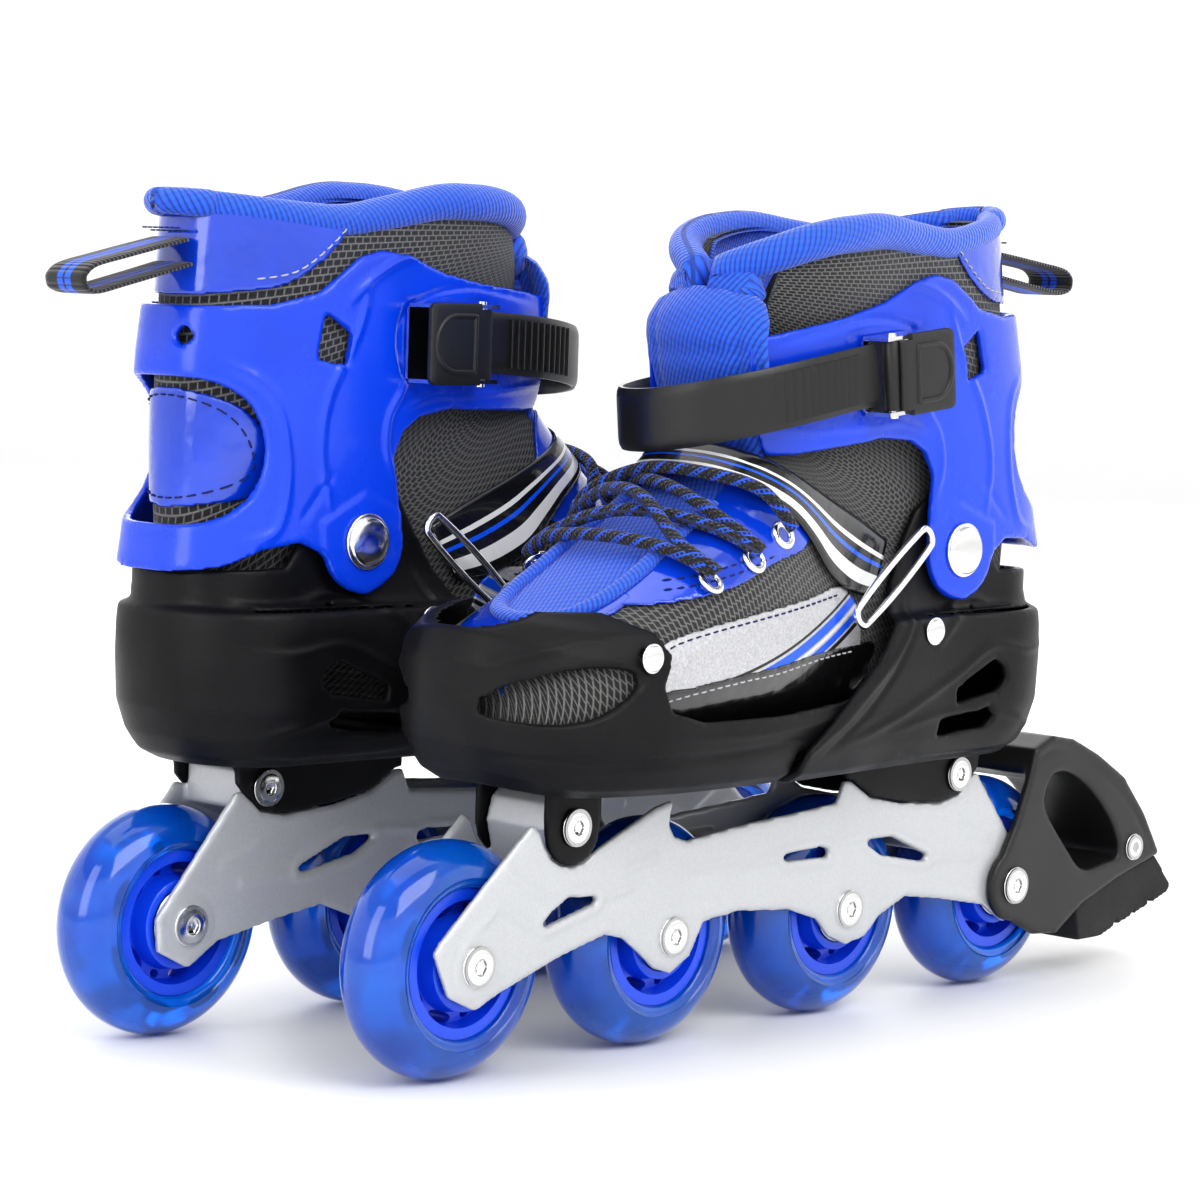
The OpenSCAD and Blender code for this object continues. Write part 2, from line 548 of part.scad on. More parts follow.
blue = "royalblue";
grey = "silver";
black = "dimgray";
module wheel_tyre(i) {
  color("dodgerblue") translate([axles_x[i], 0, wheel_r]) tyre_part();
}
module wheel_hub(i) {
  color("mediumblue") translate([axles_x[i], 0, wheel_r]) hub_part();
}

module right_frame() { color(grey) on_right() frame_part(); }
module right_tyre_1() { on_right() wheel_tyre(0); }
module right_tyre_2() { on_right() wheel_tyre(1); }
module right_tyre_3() { on_right() wheel_tyre(2); }
module right_tyre_4() { on_right() wheel_tyre(3); }
module right_hub_1() { on_right() wheel_hub(0); }
module right_hub_2() { on_right() wheel_hub(1); }
module right_hub_3() { on_right() wheel_hub(2); }
module right_hub_4() { on_right() wheel_hub(3); }
module right_axles() { color(grey) on_right() axle_set(0); }
module right_bearing_cores() { color(grey) on_right() bearing_cores(); }
module right_frame_bolts() { color(grey) on_right() frame_bolts(); }
module right_heel_shell() { color(black) on_right() heel_shell_part(); }
module right_toe_shell() { color("gray") on_right() toe_shell_part(); }
module right_shell_rivets() { color(grey) on_right() shell_rivets(); }
module right_toe_rivets() { color(grey) on_right() toe_rivets(); }
module right_cuff() { color(blue) on_right() leaned(right_lean) cuff_part(); }
module right_cuff_pivots() { color(grey) on_right() cuff_pivots(); }
module right_buckle_base() { color(grey) on_right() leaned(right_lean) { buckle_base_part(); buckle_pin_part(); } }
module right_buckle_lever() { color("black") on_right() leaned(right_lean) buckle_lever_part(); }
module right_ratchet_strap() { color("black") on_right() leaned(right_lean) ratchet_strap_part(); }
module right_instep_strap() { color("lightgray") on_right() instep_strap_part(); }
module right_strap_ring() { color(grey) on_right() strap_ring_part(); }
module right_lace() { color("black") on_right() lace_part(); }
module right_eyelets() { color(grey) on_right() eyelets_part(); }
module right_liner_foot() { color("slategray") on_right() liner_foot_part(); }
module right_liner_shaft() { color("slategray") on_right() leaned(right_lean) liner_shaft_part(); }
module right_tongue() { color("steelblue") on_right() leaned(right_lean) tongue_part(); }
module right_pull_tab() { color("navy") on_right() leaned(right_lean) pull_tab_part(); }
module left_frame() { color(grey) on_left() frame_part(); }
module left_tyre_1() { on_left() wheel_tyre(0); }
module left_tyre_2() { on_left() wheel_tyre(1); }
module left_tyre_3() { on_left() wheel_tyre(2); }
module left_tyre_4() { on_left() wheel_tyre(3); }
module left_hub_1() { on_left() wheel_hub(0); }
module left_hub_2() { on_left() wheel_hub(1); }
module left_hub_3() { on_left() wheel_hub(2); }
module left_hub_4() { on_left() wheel_hub(3); }
module left_axles() { color(grey) on_left() axle_set(brake_out - wall_out); }
module left_bearing_cores() { color(grey) on_left() bearing_cores(); }
module left_frame_bolts() { color(grey) on_left() { frame_bolts(); brake_bolt_part(); } }
module left_heel_shell() { color(black) on_left() heel_shell_part(); }
module left_toe_shell() { color("gray") on_left() toe_shell_part(); }
module left_shell_rivets() { color(grey) on_left() shell_rivets(); }
module left_toe_rivets() { color(grey) on_left() toe_rivets(); }
module left_cuff() { color(blue) on_left() leaned(left_lean) cuff_part(); }
module left_cuff_pivots() { color(grey) on_left() cuff_pivots(); }
module left_buckle_base() { color(grey) on_left() leaned(left_lean) { buckle_base_part(); buckle_pin_part(); } }
module left_buckle_lever() { color("black") on_left() leaned(left_lean) buckle_lever_part(); }
module left_ratchet_strap() { color("black") on_left() leaned(left_lean) ratchet_strap_part(); }
module left_instep_strap() { color("lightgray") on_left() instep_strap_part(); }
module left_strap_ring() { color(grey) on_left() strap_ring_part(); }
module left_lace() { color("black") on_left() lace_part(); }
module left_eyelets() { color(grey) on_left() eyelets_part(); }
module left_liner_foot() { color("slategray") on_left() liner_foot_part(); }
module left_liner_shaft() { color("slategray") on_left() leaned(left_lean) liner_shaft_part(); }
module left_tongue() { color("steelblue") on_left() leaned(left_lean) tongue_part(); }
module left_pull_tab() { color("navy") on_left() leaned(left_lean) pull_tab_part(); }
module left_brake_arm() { color(black) on_left() brake_arm_part(); }
module left_brake_pad() { color("black") on_left() brake_pad_part(); }

right_frame();
right_tyre_1();
right_tyre_2();
right_tyre_3();
right_tyre_4();
right_hub_1();
right_hub_2();
right_hub_3();
right_hub_4();
right_axles();
right_bearing_cores();
right_frame_bolts();
right_heel_shell();
right_toe_shell();
right_shell_rivets();
right_toe_rivets();
right_cuff();
right_cuff_pivots();
right_buckle_base();
right_buckle_lever();
right_ratchet_strap();
right_instep_strap();
right_strap_ring();
right_lace();
right_eyelets();
right_liner_foot();
right_liner_shaft();
right_tongue();
right_pull_tab();
left_frame();
left_tyre_1();
left_tyre_2();
left_tyre_3();
left_tyre_4();
left_hub_1();
left_hub_2();
left_hub_3();
left_hub_4();
left_axles();
left_bearing_cores();
left_frame_bolts();
left_heel_shell();
left_toe_shell();
left_shell_rivets();
left_toe_rivets();
left_cuff();
left_cuff_pivots();
left_buckle_base();
left_buckle_lever();
left_ratchet_strap();
left_instep_strap();
left_strap_ring();
left_lace();
left_eyelets();
left_liner_foot();
left_liner_shaft();
left_tongue();
left_pull_tab();
left_brake_arm();
left_brake_pad();
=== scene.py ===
import math

import bmesh
import bpy
import numpy as np
from mathutils import Matrix, Vector
from mathutils.bvhtree import BVHTree


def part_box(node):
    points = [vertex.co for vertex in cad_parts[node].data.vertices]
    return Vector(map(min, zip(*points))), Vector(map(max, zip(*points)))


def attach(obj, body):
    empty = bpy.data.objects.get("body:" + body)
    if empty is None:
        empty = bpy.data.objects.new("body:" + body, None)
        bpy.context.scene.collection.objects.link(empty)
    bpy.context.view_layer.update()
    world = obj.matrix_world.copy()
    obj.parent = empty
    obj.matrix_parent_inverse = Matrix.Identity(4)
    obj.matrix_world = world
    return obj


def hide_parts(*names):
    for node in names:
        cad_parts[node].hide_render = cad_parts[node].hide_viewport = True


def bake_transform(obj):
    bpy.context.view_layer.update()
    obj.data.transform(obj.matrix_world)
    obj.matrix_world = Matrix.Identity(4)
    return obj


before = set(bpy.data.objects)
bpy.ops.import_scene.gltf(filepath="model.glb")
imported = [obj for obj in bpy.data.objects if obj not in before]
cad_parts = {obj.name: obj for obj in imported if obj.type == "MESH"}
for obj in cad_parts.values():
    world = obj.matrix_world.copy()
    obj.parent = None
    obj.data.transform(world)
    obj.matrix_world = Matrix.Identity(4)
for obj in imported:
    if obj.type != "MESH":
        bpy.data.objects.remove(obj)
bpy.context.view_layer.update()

# Each skate is built once in its own frame, in millimetres: +X toe, -Y outer side, Z = 0 the ground.
SIDES = ("right", "left")
LEAN = {"right": 0.0, "left": 6.5}
PIVOT = (-72.2, 149.9)
PITCH = 83.0
AXLES = [1.5 * PITCH, 0.5 * PITCH, -0.5 * PITCH, -1.5 * PITCH]
WHEEL_R = 35.0
FRONT_BOLT, REAR_BOLT, BRAKE_BOLT = (86, 72), (-95.3, 74.4), (-192, 42)
HEEL_RIVET, TOE_RIVET = (-50.4, 125.5), (84, 124)


def middle_of(node):
    low, high = (np.array(p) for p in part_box(node))
    return (low + high) * 500


# The first wheels of the two skates give where the pair stands in the row frame.
RIGHT_FIRST, LEFT_FIRST = middle_of("right_tyre_1"), middle_of("left_tyre_1")
PAIR = (RIGHT_FIRST + LEFT_FIRST) / 2
HALF_GAP = (RIGHT_FIRST[1] - LEFT_FIRST[1]) / 2
SHIFT = AXLES[0] - (RIGHT_FIRST[0] - LEFT_FIRST[0]) / 2


def leaned(points, degrees):
    a = math.radians(degrees)
    x, z = points[:, 0] - PIVOT[0], points[:, 2] - PIVOT[1]
    return np.stack([PIVOT[0] + x * math.cos(a) + z * math.sin(a), points[:, 1],
                     PIVOT[1] - x * math.sin(a) + z * math.cos(a)], axis=1)


def to_row(points, side, lean=False):
    """Skate-frame millimetres to row-frame metres."""
    p = np.asarray(points, float)
    if lean:
        p = leaned(p, LEAN[side])
    sign = 1 if side == "right" else -1
    x = PAIR[0] + sign * (p[:, 0] - SHIFT)
    y = PAIR[1] + sign * HALF_GAP + p[:, 1]
    return np.stack([x, y, p[:, 2]], axis=1) / 1000


# ---------------------------------------------------------------- camera and lights

EYE = Vector((PAIR[0] - 866.3, PAIR[1] - 815.5, 233.2)) / 1000
HEADING, DOWN, ROLL = math.radians(42.04), math.radians(4.725), math.radians(2.05)


def add_camera():
    cam = bpy.data.objects.new("camera", bpy.data.cameras.new("camera"))
    bpy.context.scene.collection.objects.link(cam)
    ahead = Vector((math.cos(HEADING) * math.cos(DOWN), math.sin(HEADING) * math.cos(DOWN), -math.sin(DOWN)))
    right = Vector((math.sin(HEADING), -math.cos(HEADING), 0))
    up = right.cross(ahead)
    x = right * math.cos(ROLL) + up * math.sin(ROLL)
    y = up * math.cos(ROLL) - right * math.sin(ROLL)
    m = Matrix((x, y, -ahead)).transposed().to_4x4()
    m.translation = EYE
    cam.matrix_world = m
    cam.data.sensor_width = 36
    cam.data.lens = 112.8
    cam.data.shift_x, cam.data.shift_y = -0.0642, -0.0095
    cam.data.clip_start, cam.data.clip_end = 0.05, 50
    bpy.context.scene.camera = cam


def area_light(name, at, target, size, power):
    data = bpy.data.lights.new(name, "AREA")
    data.shape, data.size, data.size_y, data.energy = "RECTANGLE", size[0], size[1], power
    ob = bpy.data.objects.new(name, data)
    bpy.context.scene.collection.objects.link(ob)
    ob.location = at
    ob.rotation_mode = "QUATERNION"
    ob.rotation_quaternion = (Vector(target) - Vector(at)).to_track_quat("-Z", "Y")


add_camera()
view = bpy.context.scene.view_settings
view.view_transform, view.look, view.exposure = "Standard", "Medium High Contrast", -0.12
TARGET = (0, 0, 0.1)
area_light("key", (-0.3, -1.5, 1.5), TARGET, (1.6, 1.0), 19)
area_light("side", (-1.7, -0.1, 0.8), TARGET, (0.7, 1.4), 8)
area_light("top", (0.1, 0.3, 1.9), TARGET, (1.8, 1.8), 11)
area_light("back", (1.2, 1.3, 0.9), TARGET, (1.0, 1.0), 6)


# ---------------------------------------------------------------- materials

class Shader:
    """A Principled material whose pattern coordinates are the skate's own millimetres."""

    def __init__(self, name, colour, rough, metal=0.0, coat=0.0, coords="place", **values):
        self.mat = bpy.data.materials.new(name)
        self.mat.use_nodes = True
        self.tree = self.mat.node_tree
        self.bsdf = self.tree.nodes["Principled BSDF"]
        self.set("Base Color", (*colour, 1))
        self.set("Roughness", rough)
        self.set("Metallic", metal)
        self.set("Coat Weight", coat)
        self.set("Coat Roughness", 0.05)
        for key, value in values.items():
            self.set(key.replace("_", " "), value)
        if coords == "object":
            source = self.add("ShaderNodeTexCoord").outputs["Object"]
            self.coords = self.add("ShaderNodeVectorMath", {0: source, "Scale": 1000}, operation="SCALE").outputs[0]
        else:
            self.coords = self.attribute(coords)
        self.height = None

    def set(self, socket, value):
        self.bsdf.inputs[socket].default_value = value

    def add(self, kind, inputs=None, **props):
        node = self.tree.nodes.new(kind)
        for key, value in props.items():
            setattr(node, key, value)
        for key, value in (inputs or {}).items():
            self.put(node.inputs[key], value)
        return node

    def put(self, socket, value):
        if isinstance(value, bpy.types.NodeSocket):
            self.tree.links.new(value, socket)
        else:
            socket.default_value = value

    def attribute(self, name):
        return self.add("ShaderNodeAttribute", attribute_name=name).outputs["Vector"]

    def math(self, operation, a, b=0.0, c=0.0):
        return self.add("ShaderNodeMath", {0: a, 1: b, 2: c}, operation=operation).outputs[0]

    def part(self, vector, axis):
        return self.add("ShaderNodeSeparateXYZ", {0: vector}).outputs[axis]

    def ramp(self, value, low, high, to_low=0.0, to_high=1.0):
        return self.add("ShaderNodeMapRange", {0: value, 1: low, 2: high, 3: to_low, 4: to_high}).outputs[0]

    def noise(self, scale, detail=3.0, vector=None):
        return self.add("ShaderNodeTexNoise", {"Vector": vector or self.coords, "Scale": scale,
                                               "Detail": detail}).outputs["Fac"]

    def mix(self, fac, a, b):
        node = self.add("ShaderNodeMix", data_type="RGBA")
        colours = [v if isinstance(v, bpy.types.NodeSocket) else (*v, 1) for v in (a, b)]
        for socket, value in zip((node.inputs[0], node.inputs[6], node.inputs[7]), (fac, *colours)):
            self.put(socket, value)
        return node.outputs[2]

    def colour(self, value):
        self.put(self.bsdf.inputs["Base Color"], value)
        return self

    def rough(self, low, high, scale=0.05):
        self.put(self.bsdf.inputs["Roughness"], self.ramp(self.noise(scale), 0.3, 0.7, low, high))
        return self

    def bump(self, height, depth_mm, strength=1.0):
        """Adds a height field of the given depth to the normal."""
        node = self.add("ShaderNodeBump", {"Strength": strength, "Distance": depth_mm / 1000, "Height": height})
        if self.height is not None:
            self.tree.links.new(self.height, node.inputs["Normal"])
        self.height = node.outputs[0]
        self.tree.links.new(self.height, self.bsdf.inputs["Normal"])
        return self


def plastic(name, colour, rough, coat=0.0, grain=0.05, coords="place"):
    """Moulded plastic: a faint tone change, a fine grain and worn patches of gloss."""
    s = Shader(name, colour, rough, coat=coat, coords=coords)
    s.colour(s.mix(s.ramp(s.noise(0.02), 0.35, 0.65), colour, tuple(min(1, c * 1.25) for c in colour)))
    s.rough(rough * 0.85, min(1, rough * 1.2))
    return s.bump(s.noise(1.6, 2.0), grain)


def metal(name, colour, rough, scratch=0.02, coords="place"):
    s = Shader(name, colour, rough, metal=1.0, coords=coords)
    s.rough(rough * 0.7, rough * 1.4, 0.2)
    stretched = s.add("ShaderNodeMapping", {"Vector": s.coords, "Scale": (0.6, 0.6, 5)}).outputs[0]
    return s.bump(s.noise(1.2, 4.0, stretched), scratch)


def mesh_fabric(name):
    """Knitted air mesh: grey threads round rows of dark, staggered holes."""
    s = Shader(name, (0.1, 0.1, 0.1), 0.75, coords="weave", Sheen_Weight=0.3)
    brick = s.add("ShaderNodeTexBrick", {
        "Vector": s.coords, "Color1": (0, 0, 0, 1), "Color2": (0, 0, 0, 1), "Mortar": (1, 1, 1, 1), "Scale": 1.0,
        "Mortar Size": 0.42, "Mortar Smooth": 0.75, "Brick Width": 2.9, "Row Height": 2.1})
    thread = s.noise(5.0, 4.0)
    grey = s.mix(s.ramp(thread, 0.35, 0.65), (0.07, 0.07, 0.068), (0.33, 0.33, 0.32))
    s.colour(s.mix(brick.outputs["Fac"], (0.006, 0.006, 0.007), grey))
    return s.bump(brick.outputs["Fac"], 0.7).bump(thread, 0.25)


def woven(name, colour, dark, pitch, coords="weave"):
    """Blue twill: fine slanting ribs crossed by threads."""
    s = Shader(name, colour, 0.62, coords=coords, Sheen_Weight=0.4)
    x, y = s.part(s.coords, 0), s.part(s.coords, 1)
    slant = s.math("ADD", s.math("MULTIPLY", x, 1.0 / pitch), s.math("MULTIPLY", y, 0.45 / pitch))
    cross = s.math("SINE", s.math("MULTIPLY", s.math("SUBTRACT", y, s.math("MULTIPLY", x, 0.4)), 4.5 / pitch))
    rib = s.math("ABSOLUTE", s.math("SINE", s.math("MULTIPLY", slant, math.pi)))
    weave = s.math("MULTIPLY", rib, s.ramp(cross, -1, 1, 0.7, 1.0))
    s.colour(s.mix(s.ramp(weave, 0.1, 0.75), dark, colour))
    return s.bump(weave, 0.3).bump(s.noise(2.5), 0.12)


def stripes(s, position, bands, base):
    """Hard-edged bands across a strap: (from, to, colour) over a base colour."""
    colour = base
    for low, high, tone in bands:
        inside = s.math("MULTIPLY", s.math("GREATER_THAN", position, low), s.math("LESS_THAN", position, high))
        colour = s.mix(inside, colour, tone)
    return colour


BLUE, DEEP_BLUE, WHITE, SILVER = (0.003, 0.115, 0.9), (0.002, 0.045, 0.5), (0.8, 0.8, 0.8), (0.5, 0.5, 0.52)
BLACK = (0.009, 0.009, 0.01)


def strap_material():
    """Coated instep strap: black edges, white and silver bands and a blue line."""
    s = Shader("strap_coated", BLACK, 0.16, coat=0.6, coords="weave")
    across = s.part(s.coords, 1)
    bands = [(-0.7, -0.3, WHITE), (-0.02, 0.1, BLUE), (0.28, 0.42, WHITE)]
    s.colour(stripes(s, across, bands, BLACK))
    s.rough(0.12, 0.3, 0.08)
    return s.bump(s.noise(0.25, 2.0), 0.25)


def webbing_material():
    """Ribbed pull-loop webbing: black edges and a blue centre."""
    s = Shader("webbing", BLACK, 0.7, coords="weave", Sheen_Weight=0.3)
    along, across = s.part(s.coords, 0), s.part(s.coords, 1)
    rib = s.math("ABSOLUTE", s.math("SINE", s.math("MULTIPLY", along, math.pi / 1.5)))
    blue = stripes(s, across, [(-0.34, -0.04, BLUE), (0.06, 0.34, BLUE)], BLACK)
    s.colour(s.mix(s.ramp(rib, 0.0, 0.4), (0.003, 0.003, 0.005), blue))
    return s.bump(rib, 0.5)


def lace_material():
    """Braided cord with blue flecks."""
    s = Shader("lace", BLACK, 0.75, coords="weave", Sheen_Weight=0.2)
    along, round_ = s.part(s.coords, 0), s.part(s.coords, 1)
    a = s.math("SINE", s.math("ADD", s.math("MULTIPLY", along, 3.0), s.math("MULTIPLY", round_, 3.0)))
    b = s.math("SINE", s.math("SUBTRACT", s.math("MULTIPLY", along, 3.0), s.math("MULTIPLY", round_, 3.0)))
    braid = s.math("MAXIMUM", a, b)
    fleck = s.math("GREATER_THAN", s.math("SINE", s.math("ADD", s.math("MULTIPLY", along, 0.9), round_)), 0.45)
    s.colour(s.mix(s.math("MULTIPLY", fleck, s.math("GREATER_THAN", braid, 0.3)), (0.008, 0.008, 0.012), (0.01, 0.1, 0.75)))
    return s.bump(braid, 0.35)


def side_panel_material():
    """Silver leatherette with a black line and slanting blue and white swooshes, without lettering."""
    s = Shader("side_panel", SILVER, 0.32, metal=0.35, coat=0.25)
    x, z = s.part(s.coords, 0), s.part(s.coords, 2)
    lean = s.math("ADD", z, s.math("MULTIPLY", s.math("POWER", s.math("ABSOLUTE", s.math("SUBTRACT", x, 58.0)), 1.5), -0.036))
    grain = s.noise(1.2, 4.0)
    colour = s.mix(s.ramp(grain, 0.3, 0.7), (0.42, 0.42, 0.44), (0.6, 0.6, 0.62))
    for low, high, tone in [(114.2, 115.2, BLACK), (109.8, 113.2, BLUE), (108.2, 109.2, WHITE), (104.8, 107.4, BLUE),
                            (102.4, 104.0, BLACK)]:
        inside = s.math("MULTIPLY", s.math("GREATER_THAN", lean, low), s.math("LESS_THAN", lean, high))
        inside = s.math("MULTIPLY", inside, s.math("LESS_THAN", x, 60.0))
        colour = s.mix(inside, colour, tone)
    s.colour(colour)
    s.rough(0.25, 0.4, 0.1)
    return s.bump(grain, 0.12)


def tyre_material():
    """Cast polyurethane: deep translucent blue under a hard gloss."""
    s = Shader("tyre", (0.0, 0.14, 0.8), 0.1, coat=0.5, coords="place", Transmission_Weight=0.6, IOR=1.5,
               Subsurface_Weight=0.0)
    cloud = s.ramp(s.noise(0.05, 2.0), 0.3, 0.7)
    s.colour(s.mix(cloud, (0.0, 0.11, 0.7), (0.004, 0.2, 0.9)))
    s.rough(0.08, 0.18, 0.1)
    return s.bump(s.noise(0.12, 1.0), 0.15)


def leatherette(name, colour, rough):
    """Patent leatherette: a mirror-like coat over soft creases."""
    s = Shader(name, colour, rough, coat=1.0)
    s.colour(s.mix(s.ramp(s.noise(0.04), 0.3, 0.7), colour, tuple(c * 0.75 for c in colour)))
    return s.bump(s.noise(0.09, 2.0), 0.9).bump(s.noise(1.5, 3.0), 0.03)


def textured_black(name):
    """Moulded black plastic with a dotted, fabric-like panel texture."""
    s = Shader(name, (0.006, 0.006, 0.007), 0.4, Specular_IOR_Level=0.2)
    s.colour(s.mix(s.ramp(s.noise(0.03), 0.35, 0.65), (0.006, 0.006, 0.007), (0.011, 0.011, 0.012)))
    s.rough(0.32, 0.5, 0.04)
    return s.bump(s.noise(1.3, 3.0), 0.07)


MATERIALS = {
    "tyre": tyre_material(),
    "hub": plastic("hub", (0.004, 0.06, 0.62), 0.3, 0.3),
    "coil": plastic("coil", (0.003, 0.006, 0.03), 0.4),
    "core": plastic("core", (0.01, 0.2, 0.85), 0.35),
    "frame": None,
    "steel": metal("steel", (0.62, 0.61, 0.59), 0.24),
    "chrome": metal("chrome", (0.86, 0.86, 0.85), 0.1, 0.01),
    "shell": textured_black("shell"),
    "cuff": plastic("cuff", (0.001, 0.048, 0.58), 0.25, 0.25, 0.04),
    "black": plastic("black_plastic", (0.012, 0.012, 0.012), 0.36),
    "rubber": plastic("rubber", (0.014, 0.014, 0.014), 0.7, 0.0, 0.15),
    "mesh": mesh_fabric("air_mesh"),
    "patent": leatherette("patent_blue", (0.002, 0.055, 0.6), 0.12),
    "patent_black": leatherette("patent_black", (0.008, 0.008, 0.009), 0.2),
    "panel": side_panel_material(),
    "twill": woven("twill", (0.004, 0.11, 0.75), (0.001, 0.03, 0.3), 1.7),
    "lining": woven("lining", (0.004, 0.1, 0.7), (0.001, 0.03, 0.3), 1.3),
    "strap": strap_material(),
    "webbing": webbing_material(),
    "lace": lace_material(),
    "dark_thread": plastic("dark_thread", (0.004, 0.01, 0.08), 0.7),
    "pale_thread": plastic("pale_thread", (0.4, 0.4, 0.42), 0.7),
    "object_steel": metal("object_steel", (0.5, 0.5, 0.5), 0.3, coords="object"),
    "object_chrome": metal("object_chrome", (0.86, 0.86, 0.85), 0.12, 0.01, coords="object"),
}


def frame_paint():
    """Satin silver paint with a fine metallic grain."""
    s = Shader("frame_paint", (0.52, 0.53, 0.545), 0.36, metal=0.3, coat=0.1)
    s.colour(s.mix(s.ramp(s.noise(2.5, 2.0), 0.3, 0.7), (0.5, 0.51, 0.525), (0.57, 0.58, 0.595)))
    s.rough(0.3, 0.42, 0.04)
    return s.bump(s.noise(1.8, 3.0), 0.03)


MATERIALS["frame"] = frame_paint()


# ---------------------------------------------------------------- mesh helpers

def power(v, e):
    return np.sign(v) * np.abs(v) ** e


def smooth(t):
    t = np.clip(t, 0, 1)
    return t * t * (3 - 2 * t)


def curve(points, count, closed=False):
    """A Catmull-Rom curve through the points, at even steps of its length."""
    p = np.asarray(points, float)
    n = len(p)
    spans = n if closed else n - 1
    out = []
    for i in range(spans):
        if closed:
            a, b, c, d = (p[(i + k) % n] for k in (-1, 0, 1, 2))
        else:
            a, b, c, d = p[max(0, i - 1)], p[i], p[i + 1], p[min(n - 1, i + 2)]
        for t in np.linspace(0, 1, 16, endpoint=False):
            out.append(0.5 * (2 * b + (c - a) * t + (2 * a - 5 * b + 4 * c - d) * t**2 + (3 * b - a - 3 * c + d) * t**3))
    out = np.array(out + [p[0] if closed else p[-1]])
    length = np.r_[0, np.cumsum(np.linalg.norm(np.diff(out, axis=0), axis=1))]
    at = np.linspace(0, length[-1], count + 1 if closed else count)
    even = np.stack([np.interp(at, length, out[:, k]) for k in range(p.shape[1])], axis=1)
    return even[:-1] if closed else even


def grid_faces(rows, cols, wrap=False, start=0):
    faces = []
    for j in range(rows - 1):
        for i in range(cols if wrap else cols - 1):
            k = (i + 1) % cols
            faces.append((start + j * cols + i, start + j * cols + k, start + (j + 1) * cols + k, start + (j + 1) * cols + i))
    return faces


def loft(rings, caps=True):
    """Rings of equal length joined by quads, the ends closed by a fan."""
    rings = [np.asarray(r, float) for r in rings]
    n, m = len(rings[0]), len(rings)
    verts = np.concatenate(rings)
    faces = grid_faces(m, n, True)
    if caps:
        verts = np.concatenate([verts, [rings[0].mean(0)], [rings[-1].mean(0)]])
        faces += [(m * n, (i + 1) % n, i) for i in range(n)]
        faces += [(m * n + 1, (m - 1) * n + i, (m - 1) * n + (i + 1) % n) for i in range(n)]
    return verts, faces


def new_object(name, verts, faces):
    mesh = bpy.data.meshes.new(name)
    mesh.from_pydata([tuple(v) for v in np.asarray(verts, float)], [], [tuple(int(i) for i in f) for f in faces])
    mesh.update()
    ob = bpy.data.objects.new(name, mesh)
    bpy.context.scene.collection.objects.link(ob)
    return ob


def arrays(ob):
    mesh = ob.data
    verts = np.empty(len(mesh.vertices) * 3)
    mesh.vertices.foreach_get("co", verts)
    return verts.reshape(-1, 3), [tuple(p.vertices) for p in mesh.polygons]


def outward(verts, faces):
    """Makes the faces of a closed mesh point outwards."""
    ob = new_object("turn", verts, faces)
    bm = bmesh.new()
    bm.from_mesh(ob.data)
    bmesh.ops.recalc_face_normals(bm, faces=bm.faces)
    bm.to_mesh(ob.data)
    bm.free()
    out = arrays(ob)
    bpy.data.objects.remove(ob)
    return out


def modified(verts, faces, modifiers):
    """Applies modifiers, given as (kind, settings), and returns the mesh."""
    ob = new_object("work", verts, faces)
    helpers = []
    for kind, settings in modifiers:
        mod = ob.modifiers.new(kind, kind)
        for key, value in settings.items():
            if key == "object":
                value = new_object("helper", *value)
                helpers.append(value)
            setattr(mod, key, value)
    graph = bpy.context.evaluated_depsgraph_get()
    mesh = bpy.data.meshes.new_from_object(ob.evaluated_get(graph))
    ob.modifiers.clear()
    ob.data = mesh
    out = arrays(ob)
    for item in [ob] + helpers:
        bpy.data.objects.remove(item)
    return out


def cut(body, tool, operation="DIFFERENCE"):
    return modified(*body, [("BOOLEAN", {"operation": operation, "solver": "MANIFOLD", "object": tool})])


def keep(body, tool):
    return cut(body, tool, "INTERSECT")


def remeshed(body, voxel, rounds=3):
    return modified(*body, [("REMESH", {"mode": "VOXEL", "voxel_size": voxel}),
                            ("SMOOTH", {"factor": 0.5, "iterations": rounds})])


def prism(outline, half=70.0, low=None):
    """A solid across the skate from a side outline of (x, z) points."""
    o = np.asarray(outline, float)
    n = len(o)
    y0, y1 = (-half, half) if low is None else (low, half)
    verts = np.concatenate([np.c_[o[:, 0], np.full(n, y0), o[:, 1]], np.c_[o[:, 0], np.full(n, y1), o[:, 1]]])
    faces = [tuple(range(n)), tuple(range(2 * n - 1, n - 1, -1))]
    faces += [(i, n + i, n + (i + 1) % n, (i + 1) % n) for i in range(n)]
    return outward(verts, faces)


def disc(x, z, r, y0, y1, sides=48):
    a = np.arange(sides) * 2 * math.pi / sides
    outline = np.c_[x + r * np.cos(a), z + r * np.sin(a)]
    return prism(outline, y1, y0)


def joined(parts):
    verts, faces, base = [], [], 0
    for v, f in parts:
        verts.append(np.asarray(v, float))
        faces += [tuple(i + base for i in face) for face in f]
        base += len(v)
    return np.concatenate(verts), faces


def mirrored(body):
    v, f = body
    return np.asarray(v) * (1, -1, 1), [tuple(reversed(face)) for face in f]


def normals(verts, faces):
    ob = new_object("normals", verts, faces)
    out = np.empty(len(verts) * 3)
    ob.data.vertex_normals.foreach_get("vector", out)
    bpy.data.objects.remove(ob)
    return out.reshape(-1, 3)


